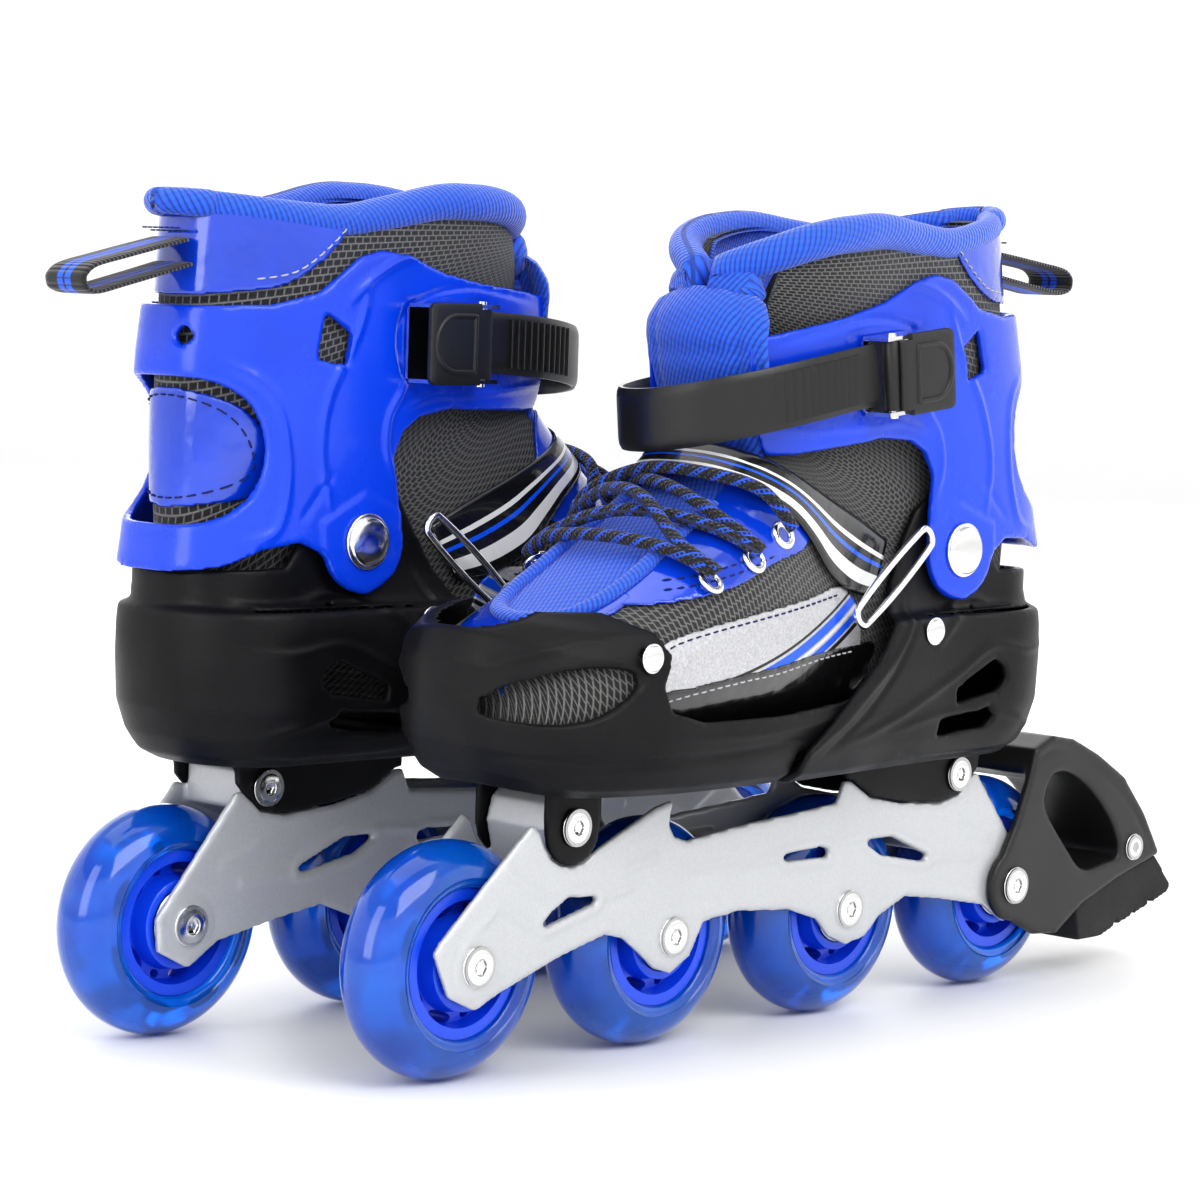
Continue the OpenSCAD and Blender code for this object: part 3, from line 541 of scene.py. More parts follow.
def line_distance(x, z, points):
    """Distance in the side view from each (x, z) to a line through the points, and how far along it."""
    p = np.asarray(points, float)
    best, along, run = np.full(len(x), 1e9), np.zeros(len(x)), 0.0
    for a, b in zip(p[:-1], p[1:]):
        d = b - a
        length = math.hypot(*d)
        t = np.clip(((x - a[0]) * d[0] + (z - a[1]) * d[1]) / length**2, 0, 1)
        far = np.hypot(x - a[0] - t * d[0], z - a[1] - t * d[1])
        near = far < best
        best, along = np.where(near, far, best), np.where(near, run + t * length, along)
        run += length
    return best, along / run


def inside(x, z, outline):
    o = np.asarray(outline, float)
    hit = np.zeros(len(x), bool)
    for (x0, z0), (x1, z1) in zip(o, np.roll(o, -1, axis=0)):
        if z0 != z1:
            hit ^= ((z0 > z) != (z1 > z)) & (x < x0 + (z - z0) / (z1 - z0) * (x1 - x0))
    return hit


def relief(body, lines=(), fields=()):
    """Moves a shell's outer skin in or out: ridges along side-view lines and raised or sunk outlines."""
    verts, faces = body
    n = normals(verts, faces)
    x, z = verts[:, 0], verts[:, 2]
    out = np.zeros(len(verts))
    for points, width, height in lines:
        far, along = line_distance(x, z, curve(points, 60))
        taper = np.clip(np.minimum(along, 1 - along) * 8, 0, 1)
        out += height * np.exp(-(far / width) ** 2) * (0.25 + 0.75 * taper)
    for outline, edge, height in fields:
        far, _ = line_distance(x, z, np.asarray(list(outline) + [outline[0]], float))
        signed = np.where(inside(x, z, outline), far, -far)
        out += height * smooth(signed / edge + 0.5)
    facing = np.clip(n[:, 1] * np.sign(verts[:, 1]) + 0.25 * -np.sign(verts[:, 0] - (-60)) * n[:, 0], 0, 1)
    return verts + n * (out * smooth(facing * 2.5))[:, None], faces


PIECES = {}


def place(name, body, side, rider, material, slot, lean=False, replaces=(), weave=None, flat=False, sharp=None,
          blend=None):
    """Puts one finished piece on one skate, mirrored for the left one, and says what it rides on."""
    verts, faces = body
    if side == "left":
        faces = [tuple(reversed(f)) for f in faces]
    ob = new_object(f"{side}_{name}", to_row(verts, side, lean), faces)
    mesh = ob.data
    mesh.attributes.new("place", "FLOAT_VECTOR", "POINT").data.foreach_set(
        "vector", np.asarray(verts, np.float32).ravel())
    if weave is not None:
        mesh.attributes.new("weave", "FLOAT_VECTOR", "POINT").data.foreach_set(
            "vector", np.asarray(weave, np.float32).ravel())
    mesh.materials.append(MATERIALS[material].mat)
    if not flat:
        mesh.shade_smooth()
        if sharp:
            mesh.set_sharp_from_angle(angle=math.radians(sharp))
    if replaces:
        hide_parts(*[f"{side}_{r}" for r in replaces])
    PIECES[ob.name] = ob
    if blend:
        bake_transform(ob)
    else:
        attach(ob, f"{side}_{rider}")
    return ob


def both(name, body, rider, material, slot, **options):
    return [place(name, body, side, rider, material, slot, **options) for side in SIDES]


# ---------------------------------------------------------------- forms shared with the CAD model

LAST = np.array([
    [82, -114, 113, 24, 34], [85, -120, 119, 28, 40], [91, -124, 123, 30.5, 43.5], [100, -127, 125, 32.5, 45.5],
    [114, -127.6, 125.5, 33, 46], [124, -127.6, 122.5, 32.5, 44.5], [129, -127.4, 118.5, 31.5, 43],
    [131, -125.2, 116.5, 22.6, 42.4], [134, -125.2, 113, 22.6, 37], [140, -125.2, 106, 22.6, 31],
    [152, -125.2, 100, 23, 26], [168, -124.5, 90, 23.4, 25]])
CUFF = np.array([
    [130, -76, 58.5, 31.6], [138, -75, 59.3, 31.5], [150, -73, 59.4, 31.2], [170, -66, 64.5, 30.8],
    [190, -55, 75.5, 30.6], [205, -52, 78, 30.4], [220, -51, 77, 30.2], [245, -52, 74, 29.6]])
BOOT = np.array([
    [117, 113, 117, 102, 6], [112, 122, 113, 95.5, 23], [102, 129, 104, 93, 32.5], [86, 136, 84, 91.5, 39],
    [66, 147, 60, 91, 40.3], [47, 160, 36, 91, 39.6], [32, 173, 8, 91, 37.5], [21, 186, -24, 91, 33],
    [15, 198, -62, 92, 27], [12, 208, -100, 98, 23.4], [11, 216, -121, 116, 22.6], [11, 223, -124.5, 145, 22.8],
    [12, 232, -125, 180, 26.4], [11, 240, -124, 215, 26.8], [8, 249, -122, 249, 27], [6, 262, -121, 262, 27]])
TOE_LENGTH = 62


def toe_swing(x):
    return 4 * (np.maximum(0, np.asarray(x, float) - 20) / 100) ** 2


def toe_spring(x):
    return 0.0075 * np.maximum(0, np.asarray(x, float) - 92) ** 2


def half_width(x, o):
    xh, xt = o[1] + o[3], o[2] - TOE_LENGTH
    heel = o[3] * np.maximum(0, 1 - np.abs((x - xh) / o[3]) ** 2.2) ** (1 / 2.2)
    toe = o[4] * np.maximum(0, 1 - np.abs((x - xt) / TOE_LENGTH) ** 2.15) ** (1 / 2.15)
    return np.where(x < xh, heel, np.where(x > xt, toe, o[3] + (o[4] - o[3]) * smooth((x - xh) / (xt - xh))))


def foot_loft(grow, floor=None, top=None, count=176):
    """The foot-shaped solid, grown sideways; its floor and top may be moved."""
    rings = []
    t = 2 * math.pi * (np.arange(count) + 0.5) / count
    for i, o in enumerate(LAST):
        z = o[0]
        if i == 0 and floor is not None:
            z = floor
        if i == 1 and floor is not None:
            z = max(o[0], floor + 0.5)
        if i == len(LAST) - 1 and top is not None:
            z = top
        q = (z, o[1] - grow, o[2] + grow, o[3] + grow, o[4] + grow)
        x = (q[1] + q[2]) / 2 + (q[2] - q[1]) / 2 * np.cos(t)
        y = np.where(np.sin(t) < 0, -1, 1) * half_width(x, q) + toe_swing(x)
        rings.append(np.c_[x, y, z + toe_spring(x)])
    return outward(*loft(rings))


def foot_wall(grow, wall, floor):
    return cut(foot_loft(grow), foot_loft(grow - wall, 82 + floor, 172))


def cuff_loft(inset, low=130, high=245, count=176):
    t = 2 * math.pi * np.arange(count) / count
    heights = np.linspace(130, 245, 40)
    path = curve(CUFF, 400)
    rings = []
    for h in heights:
        o = [np.interp(h, CUFF[:, 0], CUFF[:, k]) for k in range(4)]
        z = low if h == 130 else high if h == 245 else h
        rings.append(np.c_[o[1] + (o[2] - inset) * power(np.cos(t), 0.72), (o[3] - inset) * power(np.sin(t), 0.72),
                           np.full(count, z)])
    return outward(*loft(rings))


BOOT_ROWS, BOOT_COLS = 150, 144
BOOT_PATH = curve(BOOT, BOOT_ROWS)


def swell(x, y, z):
    """How far the padded collar stands proud of the plain form."""
    side = smooth((np.abs(y) - 8) / 12)
    ear = np.exp(-((x + 20) / 30.0) ** 2) * smooth((z - 226) / 14) * smooth((262 - z) / 10) * 3.4
    return ear * side


def boot_rows(grow=0.0, first=0, last=None, padded=True):
    t = 2 * math.pi * (np.arange(BOOT_COLS) + 0.5) / BOOT_COLS
    rings = []
    for s in BOOT_PATH[first:last]:
        c, u = (s[:2] + s[2:4]) / 2, (s[:2] - s[2:4]) / 2
        l = max(1.0, math.hypot(*u))
        k = (l + grow) / l
        a = k * power(np.cos(t), 0.82)
        x, z = c[0] + u[0] * a, c[1] + u[1] * a
        y = (s[4] + grow) * power(np.sin(t), 0.82)
        if padded:
            y = y + np.sign(y) * swell(x, y, z)
        rings.append(np.c_[x, y + toe_swing(x), z])
    return rings


def boot_solid(grow):
    return outward(*loft(boot_rows(grow)))


BOOT_FORMS = {}


def layer(low, high):
    """A skin between two distances off the boot."""
    for g in (low, high):
        if g not in BOOT_FORMS:
            BOOT_FORMS[g] = boot_solid(g)
    return cut(BOOT_FORMS[high], BOOT_FORMS[low])


BOOT_TREE = BVHTree.FromPolygons(*boot_solid(0.0))


def on_boot(x, z, side, off=0.0, start=90.0):
    """The point of the boot's side seen at (x, z), and its normal."""
    hit, normal, _, _ = BOOT_TREE.ray_cast(Vector((x, side * start, z)), Vector((0, -side, 0)))
    if hit is None:
        hit, normal, _, _ = BOOT_TREE.find_nearest(Vector((x, side * 20, z)))
    return np.array(hit) + np.array(normal) * off, np.array(normal)


def tube(path, radius, sides=16, squash=1.0, up=None, closed=False):
    """A swept tube, its weave coordinates along the path and round it."""
    p = np.asarray(path, float)
    n = len(p)
    ahead = (np.roll(p, -1, 0) - np.roll(p, 1, 0)) if closed else np.gradient(p, axis=0)
    ahead /= np.linalg.norm(ahead, axis=1)[:, None]
    ups = np.asarray(up, float) if up is not None else np.tile((0, 0, 1.0), (n, 1))
    side = np.cross(ahead, ups)
    side /= np.maximum(np.linalg.norm(side, axis=1), 1e-6)[:, None]
    ups = np.cross(side, ahead)
    a = 2 * math.pi * np.arange(sides) / sides
    r = np.broadcast_to(radius, (n,))
    rings = [p[i] + r[i] * (np.cos(a)[:, None] * side[i] + squash * np.sin(a)[:, None] * ups[i]) for i in range(n)]
    run = np.r_[0, np.cumsum(np.linalg.norm(np.diff(p, axis=0), axis=1))]
    weave = np.stack([np.repeat(run, sides), np.tile(a, n) * np.repeat(r, sides), np.zeros(n * sides)], axis=1)
    if closed:
        verts = np.concatenate(rings)
        return (verts, grid_faces(n + 1, sides, True)), weave
    verts, faces = loft(rings)
    weave = np.concatenate([weave, weave[:1], weave[-1:]])
    return (verts, faces), weave


def wrap_closed(body, n, sides):
    verts, faces = body
    return verts, [tuple(i % (n * sides) for i in f) for f in faces]


def band(path, ups, half, thick, round_=0.3):
    """A flat strap swept along a path; weave is along in mm, across from -1 to 1."""
    p, ups = np.asarray(path, float), np.asarray(ups, float)
    n = len(p)
    ahead = np.gradient(p, axis=0)
    ahead /= np.linalg.norm(ahead, axis=1)[:, None]
    across = np.cross(ahead, ups)
    across /= np.linalg.norm(across, axis=1)[:, None]
    ups = np.cross(across, ahead)
    halves = np.broadcast_to(half, (n,))
    section = []
    for s in np.linspace(-1, 1, 15):
        section.append((s, thick * (1 - round_ * s**8)))
    for s in np.linspace(1, -1, 15):
        section.append((s, thick * round_ * 0.5 * s**8))
    m = len(section)
    rings, weave = [], []
    run = np.r_[0, np.cumsum(np.linalg.norm(np.diff(p, axis=0), axis=1))]
    for i in range(n):
        rings.append(np.array([p[i] + across[i] * s * halves[i] + ups[i] * h for s, h in section]))
        weave.append(np.array([(run[i], s, 0) for s, h in section]))
    verts, faces = loft(rings)
    weave = np.concatenate(weave + [weave[0][:1], weave[-1][:1]])
    return (verts, faces), weave


def dome(x, z, r, y, height, side, socket=0.0, rim=0.0):
    """A turned bolt or rivet head facing out on one side, with an optional hexagon socket."""
    profile = [(0.0, height)] if not socket else [(0.0, height - 1.2), (socket * 0.98, height - 1.2),
                                                  (socket, height - 1.1), (socket * 1.02, height * 0.96)]
    start = socket * 1.08 if socket else 0.12 * r
    for t in np.linspace(0, 1, 12):
        q = start + (r - rim - start) * t
        profile.append((q, height * (1 - 0.45 * (q / r) ** 3)))
    if rim:
        profile += [(r - rim * 0.9, height * 0.3), (r - rim * 0.6, height * 0.36), (r - rim * 0.3, height * 0.36)]
    profile += [(r, height * 0.3), (r, 0.0)]
    sides = 48
    rings = []
    for q, h in profile[1:] if not socket else profile[1:]:
        a = np.arange(sides) * 2 * math.pi / sides
        rr = np.full(sides, q)
        if socket and q < socket * 1.01:
            rr = q / np.cos((a % (math.pi / 3)) - math.pi / 6) * 0.9
        rings.append(np.c_[x + rr * np.cos(a), np.full(sides, y + side * h), z + rr * np.sin(a)])
    return outward(*loft(rings))


def stitches(points, side, off, length=2.2, gap=1.3, radius=0.28, spot=None):
    """A row of small stitches on the boot along a side-view line."""
    p = curve(points, 300)
    run = np.r_[0, np.cumsum(np.linalg.norm(np.diff(p, axis=0), axis=1))]
    parts, at = [], 0.6
    spot = spot or (lambda x, z, o: on_boot(x, z, side, o))
    while at + length < run[-1]:
        q = []
        for t, lift in ((0, -0.3), (0.25, 0.12), (0.5, 0.2), (0.75, 0.12), (1, -0.3)):
            x, z = (np.interp(at + t * length, run, p[:, k]) for k in (0, 1))
            q.append(spot(x, z, off + lift)[0])
        parts.append(tube(q, radius, 6, up=np.tile((0, 1.0, 0.01), (5, 1)))[0])
        at += length + gap
    return joined(parts)


# ---------------------------------------------------------------- wheels

def lathe(profile, sides=128, closed=True):
    """A profile of (radius, across) turned about the wheel's axle, centred on the origin."""
    p = np.asarray(profile, float)
    a = 2 * math.pi * np.arange(sides) / sides
    rings = [np.c_[r * np.cos(a), np.full(sides, y), r * np.sin(a)] for r, y in p]
    verts = np.concatenate(rings)
    m = len(p)
    faces = []
    for j in range(m if closed else m - 1):
        k = (j + 1) % m
        for i in range(sides):
            q = (i + 1) % sides
            faces.append((j * sides + i, j * sides + q, k * sides + q, k * sides + i))
    return outward(verts, faces)


def tyre_profile():
    out = []
    for a in np.linspace(-math.radians(78), math.radians(78), 33):
        out.append((23.0 + 12.0 * math.cos(a), 12.0 * math.sin(a)))
    upper = [(25.2, 11.85), (24.6, 11.3), (23.6, 11.2), (22.7, 11.0), (22.1, 10.3), (22.05, 9.4)]
    lower = [(r, -y) for r, y in reversed(upper)]
    return out + upper + lower


TYRE = lathe(tyre_profile())


def coil_blocks():
    """The generator's windings, which show as dark blocks just inside the tyre."""
    parts = []
    for s in (-1, 1):
        for i in range(8):
            a0 = 2 * math.pi * (i + 0.18) / 8
            a1 = 2 * math.pi * (i + 0.82) / 8
            if i == 2:
                a0, a1 = 2 * math.pi * 2.35 / 8, 2 * math.pi * 2.6 / 8
            rings = []
            for a in np.linspace(a0, a1, 14):
                swell_ = 1.35 * math.sin(math.pi * min(1, max(0, (a - a0) / (a1 - a0)))) ** 0.35
                section = []
                for b in np.linspace(0, 2 * math.pi, 12, endpoint=False):
                    r = 25.6 + swell_ * 1.25 * math.cos(b)
                    y = s * (10.9 + 0.42 * math.sin(b) * min(1, swell_ + 0.2))
                    section.append((r * math.cos(a), y, r * math.sin(a)))
                rings.append(np.array(section))
            parts.append(outward(*loft(rings)))
    return joined(parts)


def hub_body():
    body = lathe([(18.6, -9.7), (21.9, -9.7), (22.0, -9.2), (22.0, 9.2), (21.9, 9.7), (21.0, 10.1), (19.6, 10.1),
                  (18.8, 9.6), (18.2, 6.4), (17.6, 5.2), (14.6, 5.2), (13.9, 6.2), (13.6, 11.2), (13.0, 11.6),
                  (11.3, 11.6), (11.05, 11.3), (11.05, -11.3), (11.3, -11.6), (13.0, -11.6), (13.6, -11.2),
                  (13.9, -6.2), (14.6, -5.2), (17.6, -5.2), (18.2, -6.4), (18.8, -9.6)], 120)
    a = 2 * math.pi * np.arange(40) / 40
    for k in range(5):
        turn = math.radians(72 * k)
        for reach, wide, tall, shift in ((16.2, 4.6, 1.75, 0.0), (16.2, 1.6, 1.3, math.radians(36))):
            u = wide * np.sign(np.cos(a)) * np.abs(np.cos(a)) ** 0.9
            v = tall * np.sin(a)
            ang = turn + shift + u / reach
            r = reach + v
            o = np.c_[r * np.cos(ang), r * np.sin(ang)]
            body = cut(body, prism(o, 8))
    return body


HUB = hub_body()
CORE_RINGS = lathe([(5.0, 12.3), (6.2, 12.3), (6.5, 12.0), (6.9, 12.0), (7.2, 12.3), (8.6, 12.35), (8.9, 12.05),
                    (9.4, 12.05), (9.7, 12.35), (10.5, 12.3), (10.9, 11.9), (10.9, 6), (5.0, 6)], 64)


def shifted(body, x, y, z):
    v, f = body
    return np.asarray(v) + (x, y, z), f


for i, axle in enumerate(AXLES, 1):
    here = (axle, 0, WHEEL_R)
    both(f"tyre_{i}_cast", shifted(TYRE, *here), f"wheel_{i}", "tyre", "tyre", replaces=[f"tyre_{i}"], sharp=50)
    both(f"coils_{i}", shifted(coil_blocks(), *here), f"wheel_{i}", "coil", "blue_hub")
    both(f"hub_{i}_moulded", shifted(HUB, *here), f"wheel_{i}", "hub", "blue_hub", replaces=[f"hub_{i}"], sharp=35)
    faces = joined([CORE_RINGS, mirrored(CORE_RINGS)])
    both(f"bearing_face_{i}", shifted(faces, *here), f"wheel_{i}", "steel", "bearing_steel", sharp=35)


# ---------------------------------------------------------------- frame and fixings

FRAME_TOP = [
    (-137, 38), (-126, 51), (-106.5, 74), (-104, 73), (-97, 67), (-87, 65), (-66, 67), (-51, 70), (-41, 76),
    (-38, 76), (-35, 69.5), (-16, 68), (12, 66), (36, 63.5), (42, 65.5), (44, 69), (43, 76.5), (50, 75),
    (75, 64.5), (77.5, 63), (81, 60.8), (86, 60), (91, 60.8), (95, 63.2), (97.5, 66.5), (100, 71.5), (103, 74),
    (139, 43), (141, 40)]
FRAME_LOW = [
    (135, 27), (124.5, 22), (115, 26), (90, 34), (71, 38.5), (63, 36.5), (56, 31.5), (49, 26), (41.5, 23.5),
    (33, 28), (27, 38), (11, 39.5), (-13, 37.5), (-27, 33), (-33, 27), (-41.5, 23.5), (-51, 25), (-58, 31),
    (-71, 36), (-89, 33.5), (-113, 29), (-124.5, 22), (-136, 28)]
FRONT_SLOT = [(75.5, 48.6), (97, 43.4), (98.6, 44.4), (95, 47.4), (88, 51.2), (75.8, 50.6)]
MID_SLOT = [(-31.5, 52.6), (-11, 53), (-8.5, 54.4), (-10, 55.2), (-27, 56.2), (-31, 55)]
REAR_SLOT = [(-81.5, 47), (-77, 47.2), (-57, 51), (-49.5, 55.4), (-51, 56.2), (-63, 56.2), (-81, 49)]


def frame_body():
    """The channel frame: two pressed side plates joined by bridges, with pressed ribs and slots."""
    outline = FRAME_TOP + FRAME_LOW
    plates = [prism(outline, 15.4, 12.8), prism(outline, -12.8, -15.4)]
    bridges = [prism([(77.5, 50.5), (77.5, 60), (89.5, 60), (90, 50.5)], 13),
               prism([(78, 59), (76, 72), (78.5, 79), (82, 81.6), (90, 81.6), (93.5, 79), (95.5, 72), (92, 59)], 12.4),
               prism([(-7, 50), (-7, 60), (7, 60), (7, 50)], 13),
               prism([(-90, 50.5), (-90, 65), (-76, 66), (-76, 50.5)], 13),
               prism([(-89, 62), (-103.5, 68), (-103.5, 80), (-99, 81.6), (-74, 81.6), (-71, 72), (-74, 62)], 12.4)]
    body = plates[0]
    for part in plates[1:] + bridges:
        body = cut(body, part, "UNION")
    for slot in (FRONT_SLOT, MID_SLOT, REAR_SLOT):
        body = cut(body, prism(slot, 30))
    for x, z, r in [(a, WHEEL_R, 3.95) for a in AXLES] + [(*FRONT_BOLT, 3), (*REAR_BOLT, 3)]:
        body = cut(body, disc(x, z, r, -20, 20))
    body = remeshed(body, 0.85, 2)
    ribs = [([(104, 45), (116, 52), (130, 42)], 1.6, 0.5), ([(98, 52), (113, 61)], 1.6, 0.45),
            ([(60, 52), (74, 50)], 1.5, 0.5), ([(50, 60), (64, 57)], 1.5, 0.5), ([(8, 56), (40, 55)], 1.6, -0.45),
            ([(-5, 54.6), (10, 54)], 1.5, 0.5), ([(-48, 58), (-34, 57)], 1.5, 0.5),
            ([(-104, 46), (-84, 47.5)], 1.6, 0.5), ([(-112, 52), (-98, 57)], 1.6, 0.4)]
    verts, faces = body
    n = normals(verts, faces)
    out = np.zeros(len(verts))
    for points, width, height in ribs:
        far, along = line_distance(verts[:, 0], verts[:, 2], points)
        out += height * np.exp(-(far / width) ** 2)
    for slot in (FRONT_SLOT, MID_SLOT, REAR_SLOT):
        far, _ = line_distance(verts[:, 0], verts[:, 2], list(slot) + [slot[0]])
        out += 0.45 * np.exp(-((far - 1.8) / 1.3) ** 2)
    for x in AXLES:
        far = np.hypot(verts[:, 0] - x, verts[:, 2] - WHEEL_R)
        out += 0.3 * smooth((9.6 - far) / 1.4)
    edge, _ = line_distance(verts[:, 0], verts[:, 2], outline + [outline[0]])
    out -= 0.7 * np.clip(1 - edge / 1.7, 0, 1) ** 1.5
    facing = np.clip(n[:, 1] * np.sign(verts[:, 1]), 0, 1) * (np.abs(verts[:, 1]) > 14)
    verts = verts + np.c_[np.zeros(len(verts)), np.sign(verts[:, 1]) * out * facing, np.zeros(len(verts))]
    return verts, faces


both("frame_pressed", frame_body(), "skate", "frame", "frame_alloy", replaces=["frame"])


def heads(points, r, reach, height, socket, rim=0.0):
    return joined([dome(x, z, r, s * reach, height, s, socket, rim) for x, z in points for s in (-1, 1)])


both("axle_heads", heads([(x, WHEEL_R) for x in AXLES[:3]], 6.2, 15.5, 1.6, 2.5, 0.9), "skate", "chrome",
     "bright_steel")
for side in SIDES:
    reach = 15.5 if side == "right" else 18.9
    place("rear_axle_heads", heads([(AXLES[3], WHEEL_R)], 6.2, reach, 1.6, 2.5, 0.9), side, "skate", "chrome",
          "bright_steel")
both("frame_bolt_heads", heads([FRONT_BOLT, REAR_BOLT], 5.7, 15.8, 1.4, 2.2, 0.8), "skate", "chrome", "bright_steel")
both("heel_rivet_domes", heads([HEEL_RIVET], 4.4, 38.7, 1.7, 0.0, 0.7), "skate", "chrome", "chrome",
     replaces=["shell_rivets"])
both("pivot_domes", heads([PIVOT], 8.7, 31.8, 2.7, 0.0, 1.2), "skate", "chrome", "chrome", replaces=["cuff_pivots"])
both("toe_rivet_domes", joined([dome(*TOE_RIVET, 4.4, -41.8, 1.7, -1, 0.0, 0.7), dome(*TOE_RIVET, 4.4, 44.8, 1.7, 1, 0.0, 0.7)]),
     "toe_piece", "chrome", "chrome", replaces=["toe_rivets"])


# ---------------------------------------------------------------- hard shells

HEEL_SIDE = [
    (-140, 80), (-109, 74), (-104, 81.9), (16, 81.9), (15, 92), (-6, 107), (-22, 118), (-33, 130), (-41, 141),
    (-46, 150), (-54, 163), (-64, 169), (-84, 169), (-91, 154), (-99, 142.5), (-140, 141)]
VENT_A = [(-66, 101.5), (-88, 104.5), (-92.5, 108), (-91, 112), (-86, 114.5), (-65.5, 106)]
VENT_B = [(-58, 91.5), (-84, 93), (-88, 96), (-84, 99.5), (-58, 96.5)]
CHEEK_REAR = [(-38.4, 84), (-38.4, 76.6), (-41, 76.5), (-51, 70.5), (-66, 67.5), (-87, 65.5), (-97, 67.5),
              (-104, 73.4), (-106.5, 76), (-108, 84)]


def heel_body():
    body = keep(foot_wall(3.4, 2.8, 4), prism(HEEL_SIDE, 60))
    for half in ((15.4, 12.8), (-12.8, -15.4)):
        body = cut(body, prism(CHEEK_REAR, *half), "UNION")
        arc = [(FRONT_BOLT[0] + 11.4 * math.cos(a), FRONT_BOLT[1] + 11.4 * math.sin(a))
               for a in np.radians(np.linspace(-160, -20, 15))]
        body = cut(body, prism(arc + [(97.4, 75), (97.2, 88), (75, 88), (74.6, 75)], *half), "UNION")
    body = cut(body, prism([(-40, 83), (-40, 89.8), (97, 89.8), (97, 86.6), (17, 86.6), (10, 83)], 22), "UNION")
    for vent in (VENT_A, VENT_B):
        body = cut(body, prism(vent, 60))
    for x, z, r in ((*PIVOT, 4), (*HEEL_RIVET, 2), (*FRONT_BOLT, 4.6), (*REAR_BOLT, 4.6)):
        body = cut(body, disc(x, z, r, -60, 60))
    body = remeshed(body, 0.95, 4)
    lines = [([(18, 91), (1, 99), (-18, 111), (-31, 120), (-44, 133), (-49, 141)], 1.5, 0.75),
             ([(6, 91), (-12, 101), (-28, 113), (-42, 128), (-56, 150)], 1.1, -0.6),
             ([(-112, 92), (-96, 96), (-80, 99), (-60, 99), (-30, 95)], 1.3, 0.8),
             ([(-118, 118), (-104, 117), (-84, 119), (-62, 110), (-30, 99), (-4, 93)], 1.4, 0.8),
             ([(-124, 134), (-112, 131), (-96, 131), (-82, 134), (-68, 130), (-54, 121)], 1.4, 0.7),
             ([(-40, 87), (-60, 84), (-100, 84), (-120, 86)], 1.2, -0.6)]
    fields = [(VENT_A, 3.0, -0.3), (VENT_B, 3.0, -0.3)]
    return relief(body, lines, fields)


TOE_SIDE = [
    (140, 60), (140, 131), (118, 131.5), (104, 136), (88, 136), (79, 131), (75, 124), (79, 115), (76, 108),
    (63, 104.5), (27, 104), (-6, 106), (-34, 112), (-38, 106), (-38, 92.5), (16.4, 92.5), (16.4, 86.7), (17.4, 60)]
TOE_EYE = curve([(122, 107.6), (112, 105), (102, 106), (94, 109.6), (87.2, 116.5), (89, 120), (100, 121), (112, 118.6),
                 (119.4, 114.6)], 70, True)


def toe_body():
    body = keep(foot_wall(0, 2.6, 2), prism(TOE_SIDE, 60))
    body = cut(body, prism([(48, 70), (48, 86.6), (98.2, 86.6), (98.2, 70)], 16.2))
    body = cut(body, prism(TOE_EYE, 60))
    body = cut(body, disc(*TOE_RIVET, 2, -60, 60))
    body = remeshed(body, 0.85, 4)
    lines = [([(140, 101), (121, 95.5), (100, 94), (60, 94), (10, 96)], 1.1, -0.7),
             ([(72, 101), (60, 99.5), (30, 99.5), (0, 101.5), (-30, 107)], 1.1, 0.45),
             ([(128, 118), (116, 124), (104, 128), (94, 129)], 1.2, 0.5)]
    fields = [(TOE_EYE, 2.6, -0.9)]
    verts, faces = relief(body, lines, fields)
    crown = smooth((verts[:, 2] - 120) / 12) * smooth((verts[:, 0] - 92) / 20)
    verts = verts + np.c_[0 * crown, 0 * crown, 0 * crown]
    return verts, faces


def arc_points(r, a0, a1, n):
    return [(PIVOT[0] + r * math.cos(math.radians(a)), PIVOT[1] + r * math.sin(math.radians(a)))
            for a in np.linspace(a0, a1, n)]


CUFF_SIDE = ([(-150, 138), (-122, 143), (-110, 148), (-97, 150), (-90, 147)] + arc_points(16, 197, 355, 24)
             + [(-58, 163), (-60.5, 175), (-57, 183), (-50, 187.5), (-36, 190), (0, 189), (22, 190), (27, 198),
                (26, 216), (20, 225), (0, 227), (-22, 229), (-40, 232), (-56, 237), (-66, 238.5), (-75, 236),
                (-90, 225), (-106, 221), (-150, 219)])
REAR_WINDOW = curve([(-150, 154), (-130, 155), (-119, 159), (-111, 167), (-108, 178), (-111, 189), (-119, 196),
                     (-130, 199), (-150, 199)], 60)
CUFF_SLOT = [(-91, 205), (-80, 203), (-78, 213), (-88, 219)]


def rear_hole(y, z, r):
    """A round hole through the cuff's rear band, running along the skate."""
    a = 2 * math.pi * np.arange(32) / 32
    return outward(*loft([np.c_[np.full(32, x), y + r * np.cos(a), z + r * np.sin(a)] for x in (-150.0, -110.0)]))


